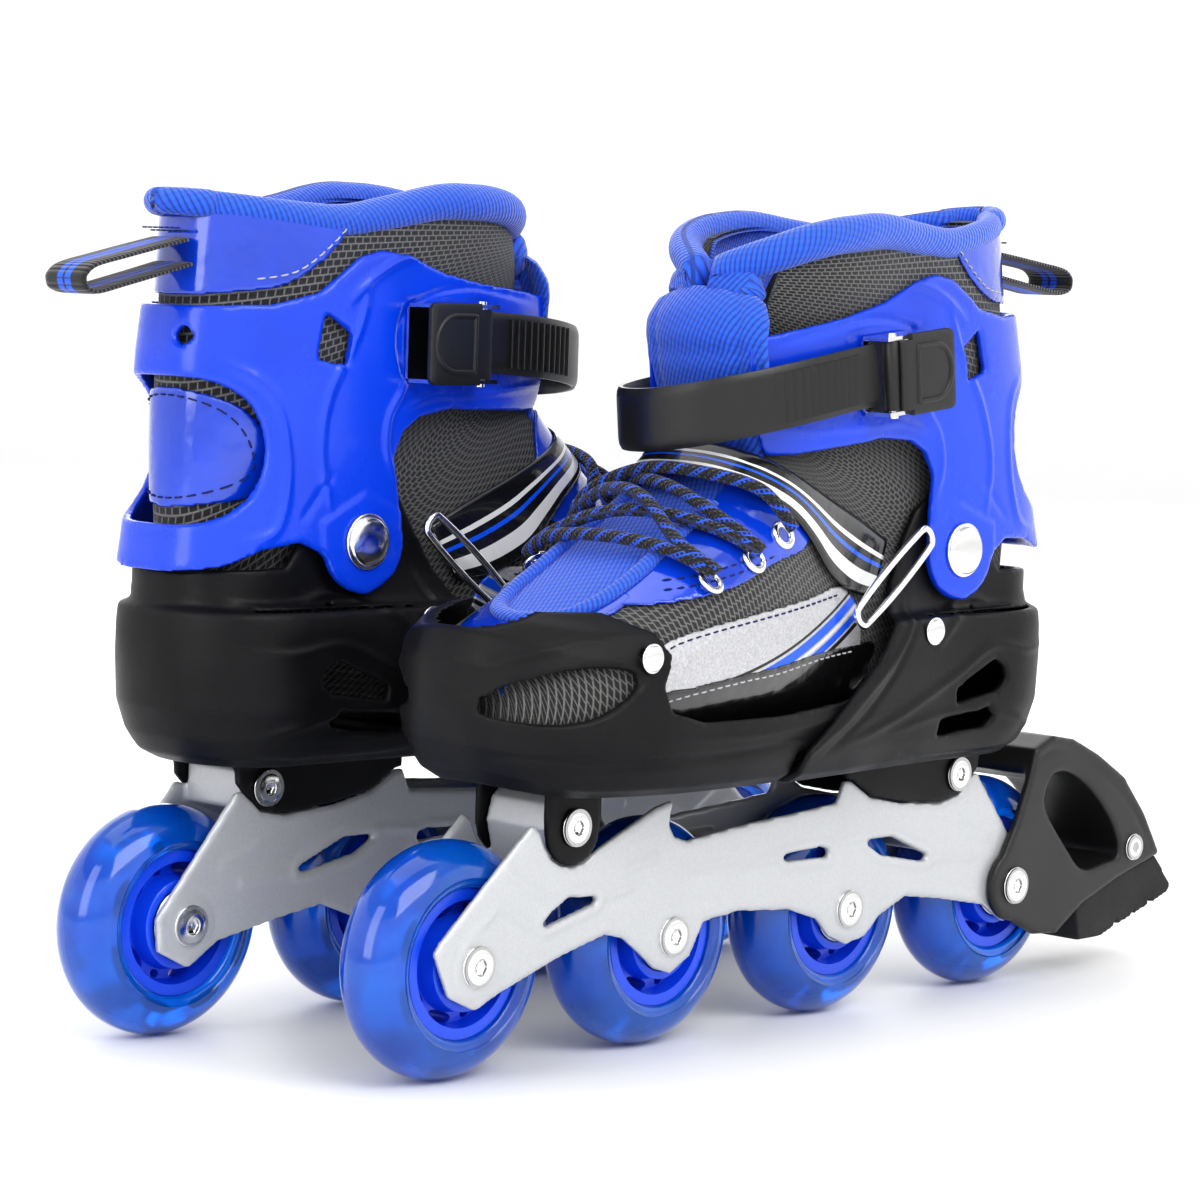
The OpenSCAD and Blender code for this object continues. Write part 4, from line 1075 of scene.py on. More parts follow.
def cuff_body():
    body = keep(cut(cuff_loft(0), cuff_loft(2.8, 128, 248)), prism(CUFF_SIDE, 60))
    for hole in (REAR_WINDOW, CUFF_SLOT):
        body = cut(body, prism(hole, 60))
    front = outward(*loft([[(0, -20, z), (40, -20, z), (40, 20, z), (0, 20, z)] for z in (100, 270)]))
    body = cut(body, front)
    body = cut(body, disc(*PIVOT, 4, -60, 60))
    body = cut(body, rear_hole(-9, 211, 2.8))
    body = remeshed(body, 0.9, 4)
    lines = [([(-31, 233), (-42, 236), (-57, 236), (-70, 230), (-80, 222)], 1.3, 0.8),
             ([(5, 224), (-17, 227), (-30, 228), (-44, 226), (-56, 221), (-60, 211), (-56, 200), (-47, 194)], 1.1, -0.7),
             ([(-60, 168), (-64, 178), (-63, 188), (-58, 196), (-54, 210), (-57, 222)], 1.2, 0.7),
             ([(-86, 160), (-90, 176), (-87, 194), (-76, 214), (-72, 228)], 1.3, 0.8),
             ([(8, 197), (-29, 194.5), (-45, 194), (-56, 190)], 1.2, 0.7),
             ([(-116, 150), (-106, 154), (-102, 168), (-103, 184), (-108, 196), (-120, 203)], 1.6, 0.7),
             ([(-97, 157), (-86, 170)], 1.2, -0.4)]
    fields = [([(-58, 224), (-58, 198), (-22, 198), (-22, 224)], 3, -0.5),
              ([(-72, 134), (-88, 139), (-90, 156), (-72, 165), (-56, 158), (-56, 141)], 2.4, 0.5)]
    return relief(body, lines, fields)


both("heel_shell_moulded", heel_body(), "skate", "shell", "black_shell", replaces=["heel_shell"])
both("toe_shell_moulded", toe_body(), "toe_piece", "shell", "black_shell", replaces=["toe_shell"])
both("cuff_moulded", cuff_body(), "cuff_group", "cuff", "blue_cuff", replaces=["cuff"], lean=True)


# ---------------------------------------------------------------- soft boot

FOLD_START, FOLD_END = (0, 0, 150), (0, 0, 196)


def folded(verts, side):
    """Leans the shaft of the boot with the cuff, turning smoothly above the ankle."""
    w = smooth((verts[:, 2] - FOLD_START[2]) / (FOLD_END[2] - FOLD_START[2]))
    turned = leaned(verts, LEAN[side])
    a = np.radians(LEAN[side] * w)
    x, z = verts[:, 0] - PIVOT[0], verts[:, 2] - PIVOT[1]
    return np.stack([PIVOT[0] + x * np.cos(a) + z * np.sin(a), verts[:, 1], PIVOT[1] - x * np.sin(a) + z * np.cos(a)], 1)


def soft(name, body, material, slot, weave=None, replaces=(), sharp=None):
    """A boot piece that follows the foot below the ankle and the cuff above it."""
    for side in SIDES:
        verts, faces = body
        moved = folded(np.asarray(verts, float), side)
        ob = place(name, (moved, faces), side, "skate", material, slot, replaces=replaces, weave=weave, sharp=sharp,
                   blend=(FOLD_START, FOLD_END))


COLLAR_LINE = curve([(26, 226), (14, 236), (8, 245), (-6, 253), (-23, 256), (-42, 256), (-62, 252), (-80, 249),
                     (-100, 250), (-118, 252), (-134, 252)], 80)
THROAT = 19.0


def rim_height(x, y):
    """The collar's upper edge: highest behind the buckle and at the heel, cut away for the tongue."""
    z = np.interp(x, COLLAR_LINE[::-1, 0], COLLAR_LINE[::-1, 1])
    front = smooth((x + 14) / 22) * smooth((THROAT + 3 - np.abs(y)) / 8)
    return z - 1.8 - 26 * front


def boot_skin():
    """Outer skin, rolled collar edge and inner lining of the boot as one closed grid."""
    rows = boot_rows(0.0)
    outer = []
    last = BOOT_ROWS - 1
    for r in rows:
        r = r.copy()
        top = rim_height(r[:, 0], r[:, 1])
        r[:, 2] = np.minimum(r[:, 2], top)
        outer.append(r)
    inner = []
    for r, q in zip(boot_rows(-4.6), outer):
        r = r.copy()
        r[:, 2] = np.minimum(r[:, 2], rim_height(r[:, 0], r[:, 1]))
        inner.append(r)
    keep_from = 6
    rings = outer + inner[keep_from:][::-1]
    verts, faces = loft(rings)
    n = BOOT_COLS
    weave = []
    for j, r in enumerate(rings):
        girth = np.r_[0, np.cumsum(np.linalg.norm(np.diff(r, axis=0), axis=1))]
        run = j * 2.25
        weave.append(np.c_[girth * 1.0, np.full(n, run), np.zeros(n)])
    weave = np.concatenate(weave + [weave[0][:1], weave[-1][:1]])
    return (verts, faces), weave


skin, skin_weave = boot_skin()
soft("boot_mesh", skin, "mesh", "mesh_fabric", weave=skin_weave, replaces=["liner_foot", "liner_shaft"])


def lining():
    """The blue woven lining a little inside the mesh, from the ankle to the rim."""
    rings = []
    for r in boot_rows(-4.9, 70):
        r = r.copy()
        r[:, 2] = np.minimum(r[:, 2], rim_height(r[:, 0], r[:, 1]) - 1)
        rings.append(r)
    back = [r * (1, 1, 1) + (r.mean(0) - r) * 0.02 for r in rings[::-1]]
    verts, faces = loft(rings + back, caps=False)
    n = BOOT_COLS
    weave = np.concatenate([np.c_[np.r_[0, np.cumsum(np.linalg.norm(np.diff(r, axis=0), axis=1))],
                                  np.full(n, j * 2.2), np.zeros(n)] for j, r in enumerate(rings + back)])
    return (verts, [tuple(reversed(f)) for f in faces]), weave


inner, inner_weave = lining()
soft("boot_lining", inner, "lining", "blue_fabric", weave=inner_weave)


def panel(name, outline, thick, material, slot, lowest=0.2, sides="both", voxel=0.75, smooth_points=90, hole=None):
    """A sewn overlay: the boot's skin thickened inside a side-view outline, with rounded edges."""
    shape = curve(outline, smooth_points, True)
    body = layer(lowest, thick)
    if sides == "both":
        body = keep(body, prism(shape, 70))
    else:
        body = keep(body, prism(shape, -4, -70) if sides == "outer" else prism(shape, 70, 4))
    if hole is not None:
        body = cut(body, hole)
    body = remeshed(body, voxel, 3)
    verts = body[0]
    weave = np.c_[verts[:, 0] * 0.6 + np.abs(verts[:, 1]), verts[:, 2] - verts[:, 0] * 0.15, np.zeros(len(verts))]
    soft(name, body, material, slot, weave=weave)


THROAT_LINE = [(97, 0), (95, 8), (90, 14), (80, 17.5), (66, 18.5), (52, 18), (38, 17), (24, 16)]


def top_view_hole():
    """Everything inside the U of the lacing throat, as a solid seen from above."""
    right = [(x, y) for x, y in THROAT_LINE]
    outline = right + [(0, 15), (0, -15)] + [(x, -y) for x, y in reversed(right)]
    o = np.array(outline, float)
    n = len(o)
    verts = np.concatenate([np.c_[o, np.full(n, 90.0)], np.c_[o, np.full(n, 270.0)]])
    faces = [tuple(range(n)), tuple(range(2 * n - 1, n - 1, -1))]
    faces += [(i, n + i, n + (i + 1) % n, (i + 1) % n) for i in range(n)]
    return outward(verts, faces)


HOLE = top_view_hole()
panel("side_panels", [(76, 107), (79.5, 115), (79, 123), (73, 128), (55, 132), (34, 135), (8, 138), (-14, 140.5), (-24, 130),
                      (-22, 117), (3, 116.5), (25, 114), (43, 112), (61, 110)], 1.3, "panel", "blue_fabric")
panel("mudguard", [(80, 112), (61, 115), (43, 117), (25, 118.5), (3, 121), (-22, 122), (-34, 121), (-20, 104), (27, 98),
                   (77, 98)], 1.9, "patent_black", "black_rubber")
panel("eyestay", [(101, 140), (92, 137.5), (83, 137), (63, 139), (43, 143), (26, 149), (7, 154), (4, 166), (16, 190), (60, 190),
                  (110, 160)], 1.5, "patent", "blue_fabric", hole=HOLE)


def toe_overlay():
    """The patent toe piece: the top of the toe box in front of the throat, narrowing forward."""
    o = np.array([(74, 24), (84, 23.5), (100, 20), (112, 15), (120, 9), (122, 0), (120, -9), (112, -15), (100, -20),
                  (84, -23.5), (74, -24)], float)
    o = np.concatenate([curve(o, 60)])
    n = len(o)
    verts = np.concatenate([np.c_[o, np.full(n, 112.0)], np.c_[o, np.full(n, 270.0)]])
    faces = [tuple(range(n)), tuple(range(2 * n - 1, n - 1, -1))]
    faces += [(i, n + i, n + (i + 1) % n, (i + 1) % n) for i in range(n)]
    body = keep(layer(0.2, 1.6), outward(verts, faces))
    body = cut(body, HOLE)
    return remeshed(body, 0.7, 3)


soft("toe_overlay", toe_overlay(), "patent", "blue_fabric")


def over_boot(x, y, off=0.0):
    hit, normal, _, _ = BOOT_TREE.ray_cast(Vector((x, y, 300)), Vector((0, 0, -1)))
    if hit is None:
        hit, normal, _, _ = BOOT_TREE.find_nearest(Vector((x, y, 150)))
    return np.array(hit) + np.array(normal) * off, np.array(normal)


vamp = keep(keep(layer(-0.6, 0.7), HOLE), prism([(10, 100), (130, 100), (130, 192), (10, 192)]))
vamp = remeshed(vamp, 0.8, 3)
soft("vamp_tongue", vamp, "twill", "blue_fabric", weave=vamp[0][:, [1, 0, 2]])


def throat_piping():
    right = [(x, y) for x, y in THROAT_LINE]
    line = curve([(x, -y) for x, y in reversed(right[1:])] + right, 120)
    line = line[(line[:, 0] > 30)]
    path, ups = [], []
    for x, y in line:
        p, n = over_boot(x, y, 1.6)
        path.append(p)
        ups.append(n)
    return tube(np.array(path), 2.7, 16, 0.75, ups)


piping, piping_weave = throat_piping()
soft("throat_piping", piping, "twill", "blue_fabric", weave=piping_weave)


def collar_border():
    """The wide woven binding that is rolled over the collar's front edge and top."""
    line = [(6, 224), (11.5, 238), (7.5, 246), (-6, 252.5), (-23, 255), (-42, 254.5), (-62, 250.5), (-80, 247.5),
            (-100, 248.5), (-118, 250.5)]
    halves = []
    for s in (-1, 1):
        path, ups = [], []
        for x, z in curve(line, 90):
            p, n = on_boot(x, min(z, 255), s, 0.0)
            p[1] += s * swell(p[0], p[1], p[2])
            path.append(p)
            ups.append(n)
        halves.append((np.array(path), np.array(ups)))
    left, right = halves
    back = []
    for a in np.linspace(0, math.pi, 22)[1:-1]:
        back.append((-118 - 11.5 * math.sin(a), -left[0][-1][1] * -math.cos(a), 250.8 + 0.6 * math.sin(a)))
    path = np.concatenate([left[0], np.array(back), right[0][::-1]])
    radius = np.interp(np.arange(len(path)), [0, 12, 40, 80, 100, 122, 160, 188, len(path) - 1],
                       [4.2, 5.6, 5.8, 4.6, 4.0, 4.6, 5.8, 5.6, 4.2])
    path[:, 2] -= 0.8
    inward = np.c_[0 * path[:, 0], -np.sign(path[:, 1]) * 2.4 * np.minimum(1, np.abs(path[:, 1]) / 8), 0 * path[:, 0]]
    ups = np.tile((0, 0, 1.0), (len(path), 1))
    first = np.linalg.norm(np.diff(path[:2], axis=0))
    return tube(path + inward, radius, 20, 0.92, np.c_[0 * path[:, 0], np.ones(len(path)), 0 * path[:, 0] + 0.02])


border, border_weave = collar_border()
soft("collar_border", border, "twill", "blue_fabric", weave=border_weave)
panel("rear_collar", [(-78, 247), (-80, 243), (-86, 236), (-98, 228), (-112, 224.5), (-140, 224), (-140, 248.5)], 1.5, "patent",
      "blue_fabric", voxel=0.8)


def rear_patch():
    """The patent badge in the cuff's rear window, left blank."""
    o = curve([(20, 164), (22, 176), (19, 190), (8, 195), (-8, 195), (-19, 190), (-22, 176), (-20, 164), (-8, 160), (8, 160)],
              60, True)
    n = len(o)
    verts = np.concatenate([np.c_[np.full(n, -150.0), o], np.c_[np.full(n, -90.0), o]])
    faces = [tuple(range(n)), tuple(range(2 * n - 1, n - 1, -1))]
    faces += [(i, n + i, n + (i + 1) % n, (i + 1) % n) for i in range(n)]
    return remeshed(keep(layer(0.2, 1.2), outward(verts, faces)), 0.7, 3)


soft("rear_patch", rear_patch(), "patent", "blue_fabric")


def from_behind(y, z, off):
    hit, normal, _, _ = BOOT_TREE.ray_cast(Vector((-200, y, z)), Vector((1, 0, 0)))
    return np.array(hit) + np.array(normal) * off, np.array(normal)


patch_line = [(17, 168), (19, 178), (16, 188), (7, 192.5), (-7, 192.5), (-16, 188), (-19, 178), (-17, 168), (-7, 163),
              (7, 163), (17, 168)]
soft("patch_stitches", stitches(patch_line, -1, 1.3, spot=from_behind), "dark_thread", "blue_fabric")

for s, tag in ((-1, "outer"), (1, "inner")):
    soft(f"eyestay_stitches_{tag}", stitches([(66, 140.8), (54, 143), (38, 147), (24, 151.5)], s, 1.55),
         "dark_thread", "blue_fabric")
    soft(f"eyestay_stitches_b_{tag}", stitches([(64, 143.4), (54, 145.2), (38, 149.4), (28, 152.8)], s, 1.55),
         "dark_thread", "blue_fabric")
    soft(f"panel_stitches_{tag}", stitches([(77.5, 113), (77.5, 121), (72, 126), (55, 130), (34, 133), (8, 136), (-10, 138)],
                                           s, 1.35), "dark_thread", "blue_fabric")
    soft(f"mudguard_stitches_{tag}", stitches([(76, 111), (61, 113.2), (43, 115.2), (25, 116.6), (3, 119.2), (-20, 120.4)],
                                              s, 1.95), "pale_thread", "black_rubber")
    soft(f"collar_stitches_{tag}", stitches([(-75, 250), (-85, 239.6), (-97, 231), (-111, 228)], s, 1.6),
         "pale_thread", "blue_fabric")


def tongue_body():
    """The padded tongue: a slab crowned between two sewn channels, rising in front of the shin."""
    spine = curve([(60, 138), (44, 151), (31, 163), (21, 176), (14.5, 189), (13, 200), (14.5, 212), (16, 226), (12, 241)], 70)
    widths = np.interp(np.linspace(0, 1, 70), [0, 0.3, 0.6, 0.8, 0.92, 0.97, 1], [15, 17, 20, 24.5, 25, 22, 15])
    bend = np.interp(np.linspace(0, 1, 70), [0, 0.4, 1], [2.2, 4.2, 5.5])
    verts_rows, weave = [], []
    d = np.gradient(spine, axis=0)
    d /= np.linalg.norm(d, axis=1)[:, None]
    ahead = np.c_[d[:, 1], -d[:, 0]]
    count = 41
    for side_sign in (1, -1):
        for i in (range(70) if side_sign == 1 else range(69, -1, -1)):
            row = []
            for s in np.linspace(-1, 1, count):
                edge = (1 - abs(s) ** 2.6) ** 0.55 if abs(s) < 1 else 0
                end = min(1, (i + 0.5) / 4, (69.5 - i) / 5) ** 0.5
                seam = 1 - 0.35 * math.exp(-((abs(s) - 0.68) / 0.06) ** 2) - 0.3 * math.exp(-((i - 58) / 1.5) ** 2)
                thick = 4.0 * edge * end * seam
                back = bend[i] * s * s
                q = spine[i] - ahead[i] * back + ahead[i] * thick * side_sign
                row.append((q[0], s * widths[i], q[1]))
                weave.append((s * widths[i], i * 1.9, 0))
            verts_rows.append(np.array(row))
    verts = np.concatenate(verts_rows)
    n = len(verts_rows)
    faces = grid_faces(n, count)
    faces += [(j * count, (j + 1) * count, (n - 2 - j) * count, (n - 1 - j) * count) for j in range(69)]
    faces += [((j + 1) * count - 1, (n - j) * count - 1, (n - 1 - j) * count - 1, (j + 2) * count - 1) for j in range(69)]
    faces += [((n - 1) * count + i, (n - 1) * count + i + 1, i + 1, i) for i in range(count - 1)]
    verts, faces = outward(verts, faces)
    return (verts, faces), np.array(weave)


tongue, tongue_weave = tongue_body()
soft("tongue_pad", tongue, "twill", "blue_fabric", weave=tongue_weave, replaces=["tongue"])


# ---------------------------------------------------------------- laces, straps and loops

EYELETS = [(52.9, 35.9, 144.6, 48.5), (34.4, 36, 150.5, 60), (19.2, 34, 157.3, 66)]
LACE = [
    (19, 38, 159.4), (27, 31, 168), (36, 12, 172), (41, -8, 170.5), (41, -27, 163), (35, -39.4, 153.4), (43, -28, 159.5),
    (51, -10, 163.5), (55, 8, 162), (57, 27, 154.5), (53.6, 39.6, 147.6), (60, 24, 154), (62.5, 1, 156),
    (60, -22, 154), (53.6, -38.4, 147.6), (57, -26, 155.5), (54, -8, 168), (50, 10, 169), (43, 28, 162),
    (35, 40, 153.4), (41, 27, 166.5), (38, 8, 175), (35, -12, 175.5), (27, -31, 171), (19, -38, 159.4)]
lace_body, lace_weave = tube(curve(LACE, 420), 2.0, 14)
both("lace_cord", lace_body, "skate", "lace", "lace_cord", replaces=["lace"], weave=lace_weave)


def eyelet_rings():
    parts = []
    for x, out, z, tilt in EYELETS:
        for s in (-1, 1):
            ring = lathe([(3.5 + 1.15 * math.cos(a), 0.8 * math.sin(a) + 0.2) for a in np.linspace(0, 2 * math.pi, 14)[:-1]], 40)
            collar = lathe([(2.2, -1.6), (2.5, -1.6), (3.0, 0.6), (2.8, 0.9), (2.4, 0.4)], 40)
            v, f = joined([ring, collar])
            a = math.radians(tilt)
            # The ring lies across +Y; it turns to face out and up.
            y, up = s * v[:, 1] * math.sin(a) - s * v[:, 2] * math.cos(a), v[:, 1] * math.cos(a) + v[:, 2] * math.sin(a)
            parts.append((np.c_[v[:, 0] + x, y + s * out + toe_swing(x), up + z], f))
    return joined([outward(*p) for p in parts])


both("eyelet_rings", eyelet_rings(), "skate", "chrome", "bright_steel", replaces=["eyelets"])


def instep_strap():
    """The striped strap: from the ring on the outer side over the instep to the inner side."""
    low = curve([(-30, 136), (-16, 138.5), (-3, 145), (5, 153.5), (13, 161.5), (24, 168), (33, 172.6), (50, 175.5)], 46)
    high = curve([(-40, 153.5), (-26, 160), (-8, 167.5), (8, 174.6), (17, 179), (27, 184.5), (34, 189), (46, 190)], 46)
    rows = []
    tree = BOOT_TREE
    spans = 46
    cross = 17
    for s in (-1, 1):
        block = []
        for i in range(spans):
            a, b = low[i], high[i]
            line = []
            for t in np.linspace(0, 1, cross):
                x, z = a * (1 - t) + b * t
                line.append((x, z))
            block.append(line)
        rows.append(block)
    centre = []
    side_rows = {}
    for s in (-1, 1):
        out = []
        for i in range(spans):
            line = []
            for k in range(cross):
                x, z = rows[0][i][k]
                hit, normal, _, _ = tree.ray_cast(Vector((x, s * 90, z)), Vector((0, -s, 0)))
                if hit is None:
                    line.append(None)
                else:
                    line.append((np.array(hit), np.array(normal)))
            out.append(line)
        side_rows[s] = out
    # The two sides join over the top where the rays begin to miss: rows are rebuilt by an even walk round the boot.
    columns = []
    for k in range(cross):
        points = [side_rows[-1][i][k] for i in range(spans) if side_rows[-1][i][k] is not None]
        other = [side_rows[1][i][k] for i in range(spans) if side_rows[1][i][k] is not None]
        run = [p for p, _ in points] + [p for p, _ in reversed(other)]
        columns.append(curve(np.array(run)[::2], 110))
    grid = np.array(columns).transpose(1, 0, 2)
    lifted = []
    for r in grid:
        line = []
        for p in r:
            near, normal, _, _ = tree.find_nearest(Vector(p))
            nrm = np.array(normal)
            line.append((np.array(near), nrm))
        lifted.append(line)
    n = len(lifted)
    rings, weave = [], []
    run = 0.0
    for i, line in enumerate(lifted):
        if i:
            run += float(np.linalg.norm(line[cross // 2][0] - lifted[i - 1][cross // 2][0]))
        ring, w = [], []
        for k in range(cross):
            s = 2 * k / (cross - 1) - 1
            p, nrm = line[k]
            ring.append(p + nrm * (2.9 - 0.5 * s**8))
            w.append((run, s, 0))
        for k in range(cross - 1, -1, -1):
            s = 2 * k / (cross - 1) - 1
            p, nrm = line[k]
            ring.append(p + nrm * (1.7 + 0.2 * s**8))
            w.append((run, s, 0))
        rings.append(np.array(ring))
        weave.append(np.array(w))
    verts, faces = loft(rings)
    weave = np.concatenate(weave + [weave[0][:1], weave[-1][:1]])
    verts, faces = outward(verts, faces)
    return (verts, faces), weave


strap, strap_weave = instep_strap()
both("instep_strap_striped", strap, "skate", "strap", "strap_webbing", replaces=["instep_strap"], weave=strap_weave)


def strap_ring():
    """A bent wire loop at the strap's lower end; the short nylon tab it sits on is not built here."""
    a = math.radians(38)
    loop = []
    for t in np.linspace(0, 2 * math.pi, 72, endpoint=False):
        c, s = math.cos(t), math.sin(t)
        u, v = 17 * np.clip(c * 1.6, -1, 1) + 4.3 * c, 4.3 * s
        loop.append((-33 + u * math.cos(a) + v * math.sin(a), -35.7, 143 - u * math.sin(a) + v * math.cos(a)))
    body, _ = tube(np.array(loop), 1.15, 12, up=np.tile((0, 1.0, 0), (72, 1)), closed=True)
    return outward(*wrap_closed(body, 72, 12))


both("strap_ring_wire", strap_ring(), "skate", "chrome", "bright_steel", replaces=["strap_ring"])

RATCHET = [(-27, -33.4, 211), (-16, -33.1, 210.6), (0, -32, 209.5), (14, -28, 208), (25, -21.5, 206.4), (32.5, -12, 204.6),
           (35.5, 0, 203), (32.5, 12, 202), (25, 22, 201.4), (13, 29.2, 201), (-1, 33, 201), (-16, 33.8, 201)]


def ratchet():
    """The moulded strap, with saw teeth on its outer face near the buckle."""
    path = curve(RATCHET, 240)
    ahead = np.gradient(path, axis=0)
    ahead /= np.linalg.norm(ahead, axis=1)[:, None]
    ups = np.cross(np.tile((0, 0, 1.0), (240, 1)), ahead)
    ups = -ups if ups[0][1] > 0 else ups
    (v, f), weave = band(path, ups, 9.6, 2.6, 0.35)
    parts = [outward(v, f)]
    run = np.r_[0, np.cumsum(np.linalg.norm(np.diff(path, axis=0), axis=1))]
    for i in range(11):
        at = 9 + 3.0 * i
        ring = []
        for y, h, d in ((0, 0, -0.2), (0.3, 0, 1.05), (0.75, 0, 1.0), (2.7, 0, -0.2)):
            p = np.array([np.interp(at + y, run, path[:, k]) for k in range(3)])
            u = np.array([np.interp(at + y, run, ups[:, k]) for k in range(3)])
            ring.append(p + u * (2.6 + d))
        ring = np.array(ring)
        parts.append(outward(*loft([ring - (0, 0, 7.6), ring + (0, 0, 7.6)])))
    return joined(parts)


both("ratchet_moulded", ratchet(), "cuff_group", "black", "black_plastic", replaces=["ratchet_strap"], lean=True, sharp=40)
both("ratchet_rivet", dome(-8, 201, 4.3, 36.0, 1.6, 1, 0.0, 0.7), "cuff_group", "chrome", "chrome", lean=True)

BUCKLE = (-41, -33.1, 210.5)


def rounded_slab(x0, x1, z0, z1, y0, y1, r, bulge=0.0):
    corners = []
    for cx, cz, a0 in ((x1 - r, z1 - r, 0), (x0 + r, z1 - r, 90), (x0 + r, z0 + r, 180), (x1 - r, z0 + r, 270)):
        for a in np.radians(np.linspace(a0, a0 + 90, 10)):
            corners.append((cx + r * math.cos(a), cz + r * math.sin(a)))
    o = np.array(corners)
    c = o.mean(0)
    rings = []
    for t, y in ((0.0, y1), (0.0, y0 + 0.5), (0.12, y0 + 0.15), (0.5, y0)):
        q = c + (o - c) * (1 - t / 10)
        rings.append(np.c_[q[:, 0], np.full(len(q), y), q[:, 1]])
    for t in (0.8, 0.5, 0.2):
        q = c + (o - c) * t
        rings.append(np.c_[q[:, 0], np.full(len(q), y0 - bulge * (1 - t * t)), q[:, 1]])
    return outward(*loft(rings))


def lever():
    """The lever pad with its raised D-shaped grip, and the cam round the pin."""
    x, y, z = BUCKLE
    pad = rounded_slab(x - 16.5, x + 9.4, z - 12.6, z + 12.6, y - 9.3, y - 7.5, 2.6, 0.3)
    pad = cut(pad, prism([(x + 4.6, z + 10.8), (x + 12, z + 10.8), (x + 12, z + 20), (x + 4.6, z + 20)], 60))
    pad = cut(pad, prism([(x + 4.6, z - 10.8), (x + 12, z - 10.8), (x + 12, z - 20), (x + 4.6, z - 20)], 60))
    arc = []
    for a in np.radians(np.linspace(-90, 90, 40)):
        arc.append((x - 6 - 8.4 * math.cos(a), y - 9.5, z + 8.6 * math.sin(a)))
    loop = np.array(arc + [(x - 6 + t, y - 9.5, z + 8.6) for t in np.linspace(1, 8, 8)]
                    + [(x + 2, y - 9.5, z + 8.6 - t) for t in np.linspace(1.5, 15.5, 12)]
                    + [(x + 2 - t, y - 9.5, z - 8.6) for t in np.linspace(0, 7, 8)])
    ridge, _ = tube(loop, 0.9, 10, 0.6, np.tile((0, 1.0, 0), (len(loop), 1)), closed=True)
    ridge = outward(*wrap_closed(ridge, len(loop), 10))
    cam = lathe([(1.55, -10.7), (2.8, -10.7), (3.0, -10.4), (3.0, 10.4), (2.8, 10.7), (1.55, 10.7)], 40)
    v, f = cam
    cam = (np.c_[v[:, 0] + x + 9, v[:, 2] + y - 4.6, v[:, 1] + z], f)
    bridge = outward(*loft([[(x + 4.6, y - 8.2, q), (x + 9.4, y - 8.2, q), (x + 9.4, y - 5.6, q), (x + 6.6, y - 5.6, q)]
                            for q in (z - 10.7, z + 10.7)]))
    grips = []
    for i in range(4):
        q = x - 15.2 + 1.5 * i
        grips.append(tube(np.array([(q, y - 9.35, z - 5 + t) for t in np.linspace(0, 10, 10)]), 0.4, 8)[0])
    return joined([pad, ridge, outward(*cam), bridge] + [outward(*g) for g in grips])


both("lever_pad", lever(), "lever", "black", "black_plastic", replaces=["buckle_lever"], lean=True, sharp=40)


def pull_loop():
    """A loop of ribbed webbing sewn behind the collar."""
    a = math.radians(-14)
    line = []
    for u, v in curve([(-1.5, 4.2), (-12, 4.4), (-26, 4.5), (-37, 4.4), (-41.6, 2.4), (-42.4, 0), (-41.6, -2.4), (-37, -4.4),
                       (-26, -4.5), (-12, -4.4), (-1.5, -4.2)], 90):
        line.append((-123.8 + u * math.cos(a) + v * math.sin(a), 0, 236 - u * math.sin(a) + v * math.cos(a)))
    p = np.array(line)
    d = np.gradient(p, axis=0)
    ups = np.cross(d, np.tile((0, 1.0, 0), (len(p), 1)))
    ups /= np.linalg.norm(ups, axis=1)[:, None]
    centre = p.mean(0)
    if np.dot(ups[10], p[10] - centre) < 0:
        ups = -ups
    return band(p - ups * 1.2, ups, 9, 1.5, 0.3)


loop, loop_weave = pull_loop()
loop_body = outward(*loop)
both("pull_loop", loop_body, "cuff_group", "webbing", "strap_webbing", replaces=["pull_tab"], lean=True, weave=loop_weave)
both("pull_loop_stitches", joined([tube(np.array([(-129.5 + dx, y0 + t, 242.6 - dx * 0.25) for t in np.linspace(-0.9, 0.9, 4)]),
                                        0.28, 6)[0] for dx in (0, 3.2) for y0 in np.linspace(-7.4, 7.4, 7)]),
     "cuff_group", "dark_thread", "strap_webbing", lean=True)


# ---------------------------------------------------------------- heel brake, on the left skate

ARM_SIDE = [(-119, 46), (-125, 56), (-131, 70), (-134, 80), (-144, 84), (-156, 82), (-170, 76), (-186, 67), (-199, 53),
            (-209, 38.2), (-184, 31.5), (-164, 24.5), (-150, 16), (-137, 17), (-124, 23)]
ARM_OPEN = [(-141, 60), (-143, 69), (-150, 71), (-161, 67), (-172, 59), (-181, 49), (-184, 40), (-176, 38), (-164, 37),
            (-155, 44)]
PAD_SIDE = [(-209.2, 37.6), (-220, 26), (-218, 23), (-178, 11.4), (-166, 11.4), (-163.6, 24), (-184, 31)]


def brake_arm():
    x = AXLES[3]
    body = cut(prism(ARM_SIDE, 18.8), disc(x, WHEEL_R, 12, -18.8, 18.8), "UNION")
    body = cut(body, prism(curve(ARM_OPEN, 60, True), 60))
    body = cut(body, disc(x, WHEEL_R, WHEEL_R + 2.4, -15.6, 15.6, 96))
    body = cut(body, prism([(-150, 10), (-134, 60), (-131, 90), (-90, 90), (-90, 10)], 15.6))
    body = cut(body, disc(x, WHEEL_R, 4, -60, 60))
    body = cut(body, disc(*BRAKE_BOLT, 2.5, -60, 60))
    body = remeshed(body, 0.9, 5)
    return relief(body, [([(-132, 76), (-146, 79), (-168, 71), (-188, 58), (-203, 42)], 1.3, -0.5)],
                  [(curve(ARM_OPEN, 60, True), 3.0, -0.6)])


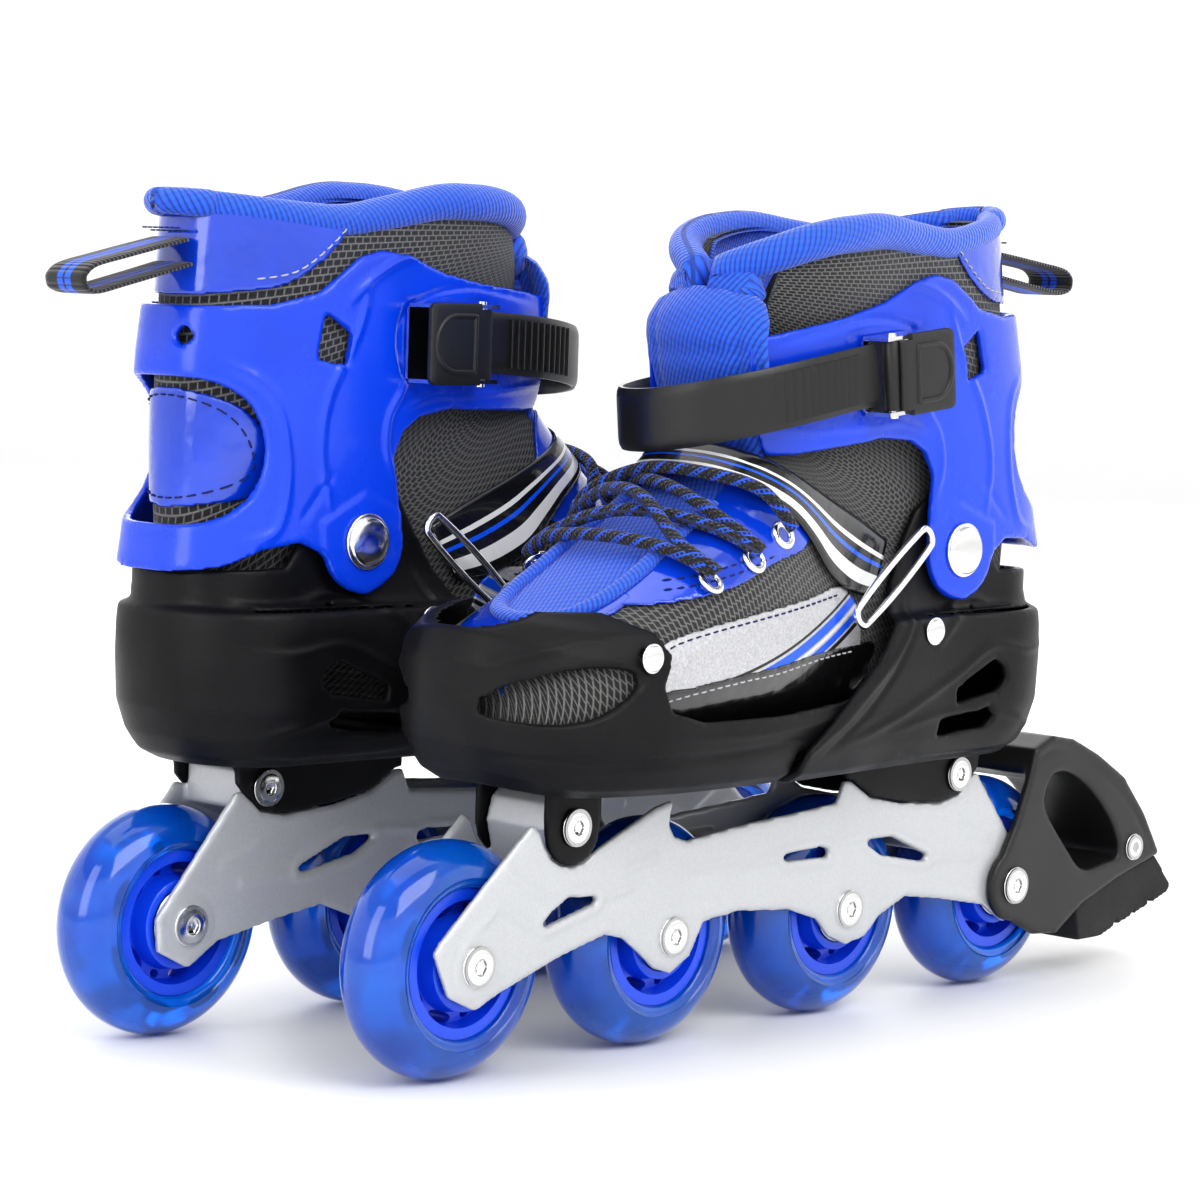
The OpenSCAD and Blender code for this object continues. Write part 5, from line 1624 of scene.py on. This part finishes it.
def brake_pad():
    """The rubber block, its lower face worn a little and cut by shallow grooves."""
    body = prism(PAD_SIDE, 16)
    for t in (0.25, 0.5, 0.75):
        x, z = -218 + 40 * t, 23 - 11.6 * t
        body = cut(body, prism([(x - 0.9, z - 2), (x + 0.9, z - 2.6), (x + 1.0, z + 1.6), (x - 0.8, z + 2.1)], 60))
    return remeshed(body, 0.8, 3)


place("brake_arm_moulded", brake_arm(), "left", "skate", "black", "black_plastic", replaces=["brake_arm"])
place("brake_pad_rubber", brake_pad(), "left", "skate", "rubber", "black_rubber", replaces=["brake_pad"])
place("brake_bolt_heads", heads([BRAKE_BOLT], 4.6, 18.9, 1.3, 1.8, 0.6), "left", "skate", "chrome", "bright_steel")


# ---------------------------------------------------------------- CAD nodes that stay

KEPT = {"axles": "object_steel", "bearing_cores": "object_steel", "frame_bolts": "object_steel",
        "buckle_base": "object_chrome", "buckle_pin": "object_steel", "brake_bolt": "object_steel"}
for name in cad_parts:
    for ending, material in KEPT.items():
        if name.endswith(ending):
            ob = bpy.data.objects.get(name)
            if ob is not None:
                for slot in ob.material_slots:
                    slot.material = MATERIALS[material].mat


# ---------------------------------------------------------------- floor and light tent

def studio():
    """A plain pale floor that curves up into walls all round, open above."""
    profile = [(0.0, 0.0), (1.0, 0.0), (2.2, 0.0), (3.2, 0.0)]
    profile += [(3.2 + 1.6 * math.sin(a), 1.6 - 1.6 * math.cos(a)) for a in np.radians(np.linspace(8, 90, 12))]
    profile += [(4.8, 3.2)]
    sides = 96
    a = 2 * math.pi * np.arange(sides) / sides
    rings = [np.c_[max(r, 0.001) * np.cos(a), max(r, 0.001) * np.sin(a), np.full(sides, z - 0.0003)] for r, z in profile]
    verts, faces = loft(rings, caps=False)
    ob = new_object("floor", verts, [tuple(reversed(f)) for f in faces])
    ob.data.shade_smooth()
    s = Shader("floor", (0.93, 0.93, 0.93), 0.6, coords="object")
    s.colour(s.mix(s.ramp(s.noise(0.002), 0.3, 0.7), (0.92, 0.92, 0.92), (0.94, 0.94, 0.94)))
    ob.data.materials.append(s.mat)
    glow = s.ramp(s.part(s.coords, 2), 0, 900, 0.0, 1.0)
    s.set("Emission Strength", 0.42)
    s.put(s.bsdf.inputs["Emission Color"], s.mix(glow, (0, 0, 0), (1, 1, 1)))


studio()
world = bpy.data.worlds.new("studio")
bpy.context.scene.world = world
world.use_nodes = True
world.node_tree.nodes["Background"].inputs[0].default_value = (1, 1, 1, 1)
world.node_tree.nodes["Background"].inputs[1].default_value = 0.62
